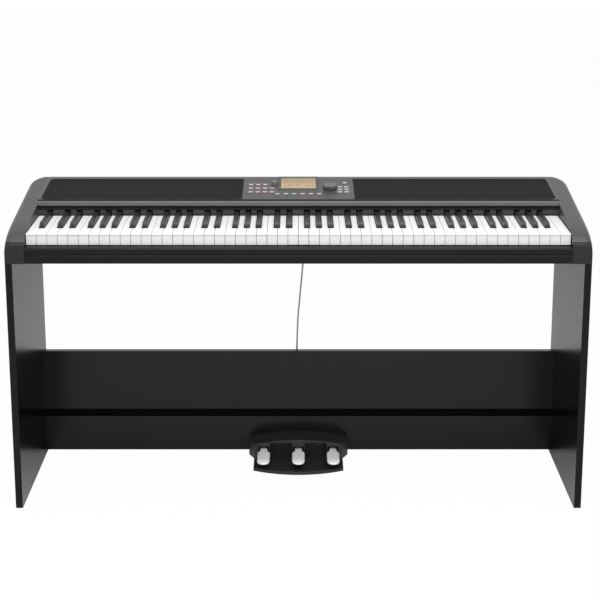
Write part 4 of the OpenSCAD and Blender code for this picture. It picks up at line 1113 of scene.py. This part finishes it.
def add_grommet():
    """The rubber grommet round the cord in the pedal board."""
    low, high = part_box("cord_grommet")
    middle = Vector(((low[0] + high[0]) / 2, high[1], (low[2] + high[2]) / 2))
    place = Matrix.Translation(middle) @ Matrix.Rotation(math.pi / 2, 4, "X")
    length, radius = high[1] - low[1], (high[0] - low[0]) / 2
    bore, body = CORD_DIAMETER / 2 + CORD_FIT, 0.82 * radius
    profile = [(bore, 0), (0.6 * radius, 0), (radius - 0.6 * MM, 0.3 * MM), (radius, 0.8 * MM),
               (radius, FLANGE_T), (body, FLANGE_T + 0.2 * MM), (body, length), (bore, length)]
    bm = bmesh.new()
    add_rings(bm, [ring(r, h, 40, place) for r, h in profile], caps=False)
    return add_piece("cord_grommet_piece", mesh_from(bm, "cord_grommet", 50.0), "black_plastic",
                     node="cord_grommet")


def rear_holes():
    """The points round each hole in the rear plate's outer face, from left to right."""
    low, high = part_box("jack_plate")
    rims = sorted((point for point in node_points("jack_plate")
                   if high[1] - point.y < 0.05 * MM
                   and low[2] + RIM_MARGIN < point.z < high[2] - RIM_MARGIN
                   and low[0] + RIM_MARGIN < point.x < high[0] - RIM_MARGIN), key=lambda point: point.x)
    holes = [[rims[0]]]
    for point in rims[1:]:
        if point.x - holes[-1][-1].x > HOLE_GAP:
            holes.append([])
        holes[-1].append(point)
    return holes


def add_sockets():
    """The sockets in the rear plate: a collared barrel in a round hole, a tongue in the square one."""
    barrels, tongues = bmesh.new(), bmesh.new()
    floor = -SOCKET_DEPTH - SOCKET_WALL
    for hole in rear_holes():
        start, end = local_box(hole, Matrix())
        middle = Vector(((start.x + end.x) / 2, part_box("jack_plate")[1][1], (start.z + end.z) / 2))
        place = Matrix.Translation(middle) @ Matrix.Rotation(-math.pi / 2, 4, "X")
        half_w, half_h = (end.x - start.x) / 2, (end.z - start.z) / 2
        if abs(half_w - half_h) < ROUND_WITHIN:
            r = half_w - 0.05 * MM
            add_turned(barrels, [
                (0.2 * MM, -SOCKET_DEPTH), (r - 0.8 * MM, -SOCKET_DEPTH), (r - 0.8 * MM, 0.2 * MM),
                (r - 0.3 * MM, 0.5 * MM), (r + 1.2 * MM, 0.5 * MM), (r + 1.4 * MM, 0.02 * MM),
                (r, 0.02 * MM), (r, floor), (0.2 * MM, floor)], place, 40)
            continue
        for low_z, high_z, x, y in ((floor, -SOCKET_DEPTH, 0.98 * half_w, half_h),
                                    (-SOCKET_DEPTH, -1 * MM, 0.7 * half_w, 0.35 * half_h)):
            add_box(tongues, (-x, -y, low_z), (x, y, high_z), place)
    add_made("socket_barrels", barrels, "steel", material="socket_metal")
    add_bevel(add_made("socket_tongue", tongues, "black_plastic"), 0.15 * MM)


def add_gasket():
    """The rubber frame inside the case that closes the gap round the rear plate."""
    low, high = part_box("jack_plate")
    back = low[1] - GASKET_GAP
    rings = []
    for grow, y in ((GASKET_LAP, back - GASKET_T), (GASKET_LAP, back),
                    (-GASKET_LAP, back), (-GASKET_LAP, back - GASKET_T)):
        west, east, down, up = low[0] - grow, high[0] + grow, low[2] - grow, high[2] + grow
        rings.append([Vector((x, y, z)) for x, z in ((west, down), (east, down), (east, up), (west, up))])
    bm = bmesh.new()
    add_rings(bm, rings, caps=False)
    add_made("jack_plate_gasket", bm, "black_plastic")


add_sockets()
add_gasket()
plug = add_plug()
grommet = add_grommet()
pedal_lead.data.materials.append(MATERIALS["cord_grey"])
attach(pedal_lead, ROOT)
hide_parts("pedal_cord")

# ---------- the rest of the CAD nodes ----------

for node, obj in frame["nodes"].items():
    if not obj.hide_render:
        obj.data.materials.clear()
        obj.data.materials.append(MATERIALS[SLOT_OF[node]])

# ---------- stage ----------

FLOOR_HALF = 12.0
FLOOR_DROP = 0.2 * MM
FLOOR_COLOR = (0.8, 0.8, 0.8, 1)
FLOOR_ROUGH = 0.9
FLOOR_GLOW = 0.97
FLOOR_MIRROR = 0.1
WHITE = (1, 1, 1, 1)
WORLD_DIFFUSE = 0.45


def seen_directly(tree, direct=1.0, mirrored=1.0):
    """The share of plain white that camera and transmission rays, and glossy rays, see; others see none."""
    path = add_node(tree, "ShaderNodeLightPath")
    clear = add_node(tree, "ShaderNodeMath", {
        0: path.outputs["Is Camera Ray"], 1: path.outputs["Is Transmission Ray"]}, operation="MAXIMUM")
    clear = add_node(tree, "ShaderNodeMath", {0: clear.outputs[0], 1: direct}, operation="MULTIPLY")
    glossy = add_node(tree, "ShaderNodeMath", {0: path.outputs["Is Glossy Ray"], 1: mirrored},
                      operation="MULTIPLY")
    return add_node(tree, "ShaderNodeMath", {0: clear.outputs[0], 1: glossy.outputs[0]},
                    operation="MAXIMUM").outputs[0]


def add_world():
    """White as a background, and a softer, even light on the object."""
    world = bpy.data.worlds.new("world")
    world.use_nodes = True
    tree = world.node_tree
    level = add_node(tree, "ShaderNodeMapRange", {
        "Value": seen_directly(tree), "To Min": WORLD_DIFFUSE, "To Max": 1.0})
    tree.links.new(level.outputs["Result"], tree.nodes["Background"].inputs["Strength"])
    tree.nodes["Background"].inputs["Color"].default_value = WHITE
    bpy.context.scene.world = world


def add_floor():
    """A pale floor that looks white and keeps the object's shadow."""
    bm = bmesh.new()
    bmesh.ops.create_grid(bm, x_segments=1, y_segments=1, size=FLOOR_HALF)
    mesh = bpy.data.meshes.new("floor")
    bm.to_mesh(mesh)
    bm.free()
    floor = bpy.data.objects.new("floor", mesh)
    floor.location.z = cad_box[0][2] - FLOOR_DROP
    bpy.context.scene.collection.objects.link(floor)
    material, tree, shader = new_tree("floor")
    shader.inputs["Base Color"].default_value = FLOOR_COLOR
    shader.inputs["Roughness"].default_value = FLOOR_ROUGH
    glow = add_node(tree, "ShaderNodeEmission", {"Color": WHITE})
    mix = add_node(tree, "ShaderNodeMixShader", {
        0: seen_directly(tree, FLOOR_GLOW, FLOOR_MIRROR), 1: shader.outputs[0], 2: glow.outputs[0]})
    tree.links.new(mix.outputs[0], tree.nodes["Material Output"].inputs["Surface"])
    mesh.materials.append(material)


def add_lamp(name, place, target, size, power):
    """A round area lamp that points at a target."""
    data = bpy.data.lights.new(name, "AREA")
    data.shape = "DISK"
    data.size = size
    data.energy = power
    lamp = bpy.data.objects.new(name, data)
    lamp.location = place
    lamp.rotation_euler = (Vector(target) - Vector(place)).to_track_quat("-Z", "Y").to_euler()
    bpy.context.scene.collection.objects.link(lamp)


add_world()
add_floor()
add_lamp("top_lamp", (0.2, -1.6, 3.4), (0, 0, 0.6), 2.6, 130.0)
bpy.context.scene.view_settings.view_transform = "Standard"
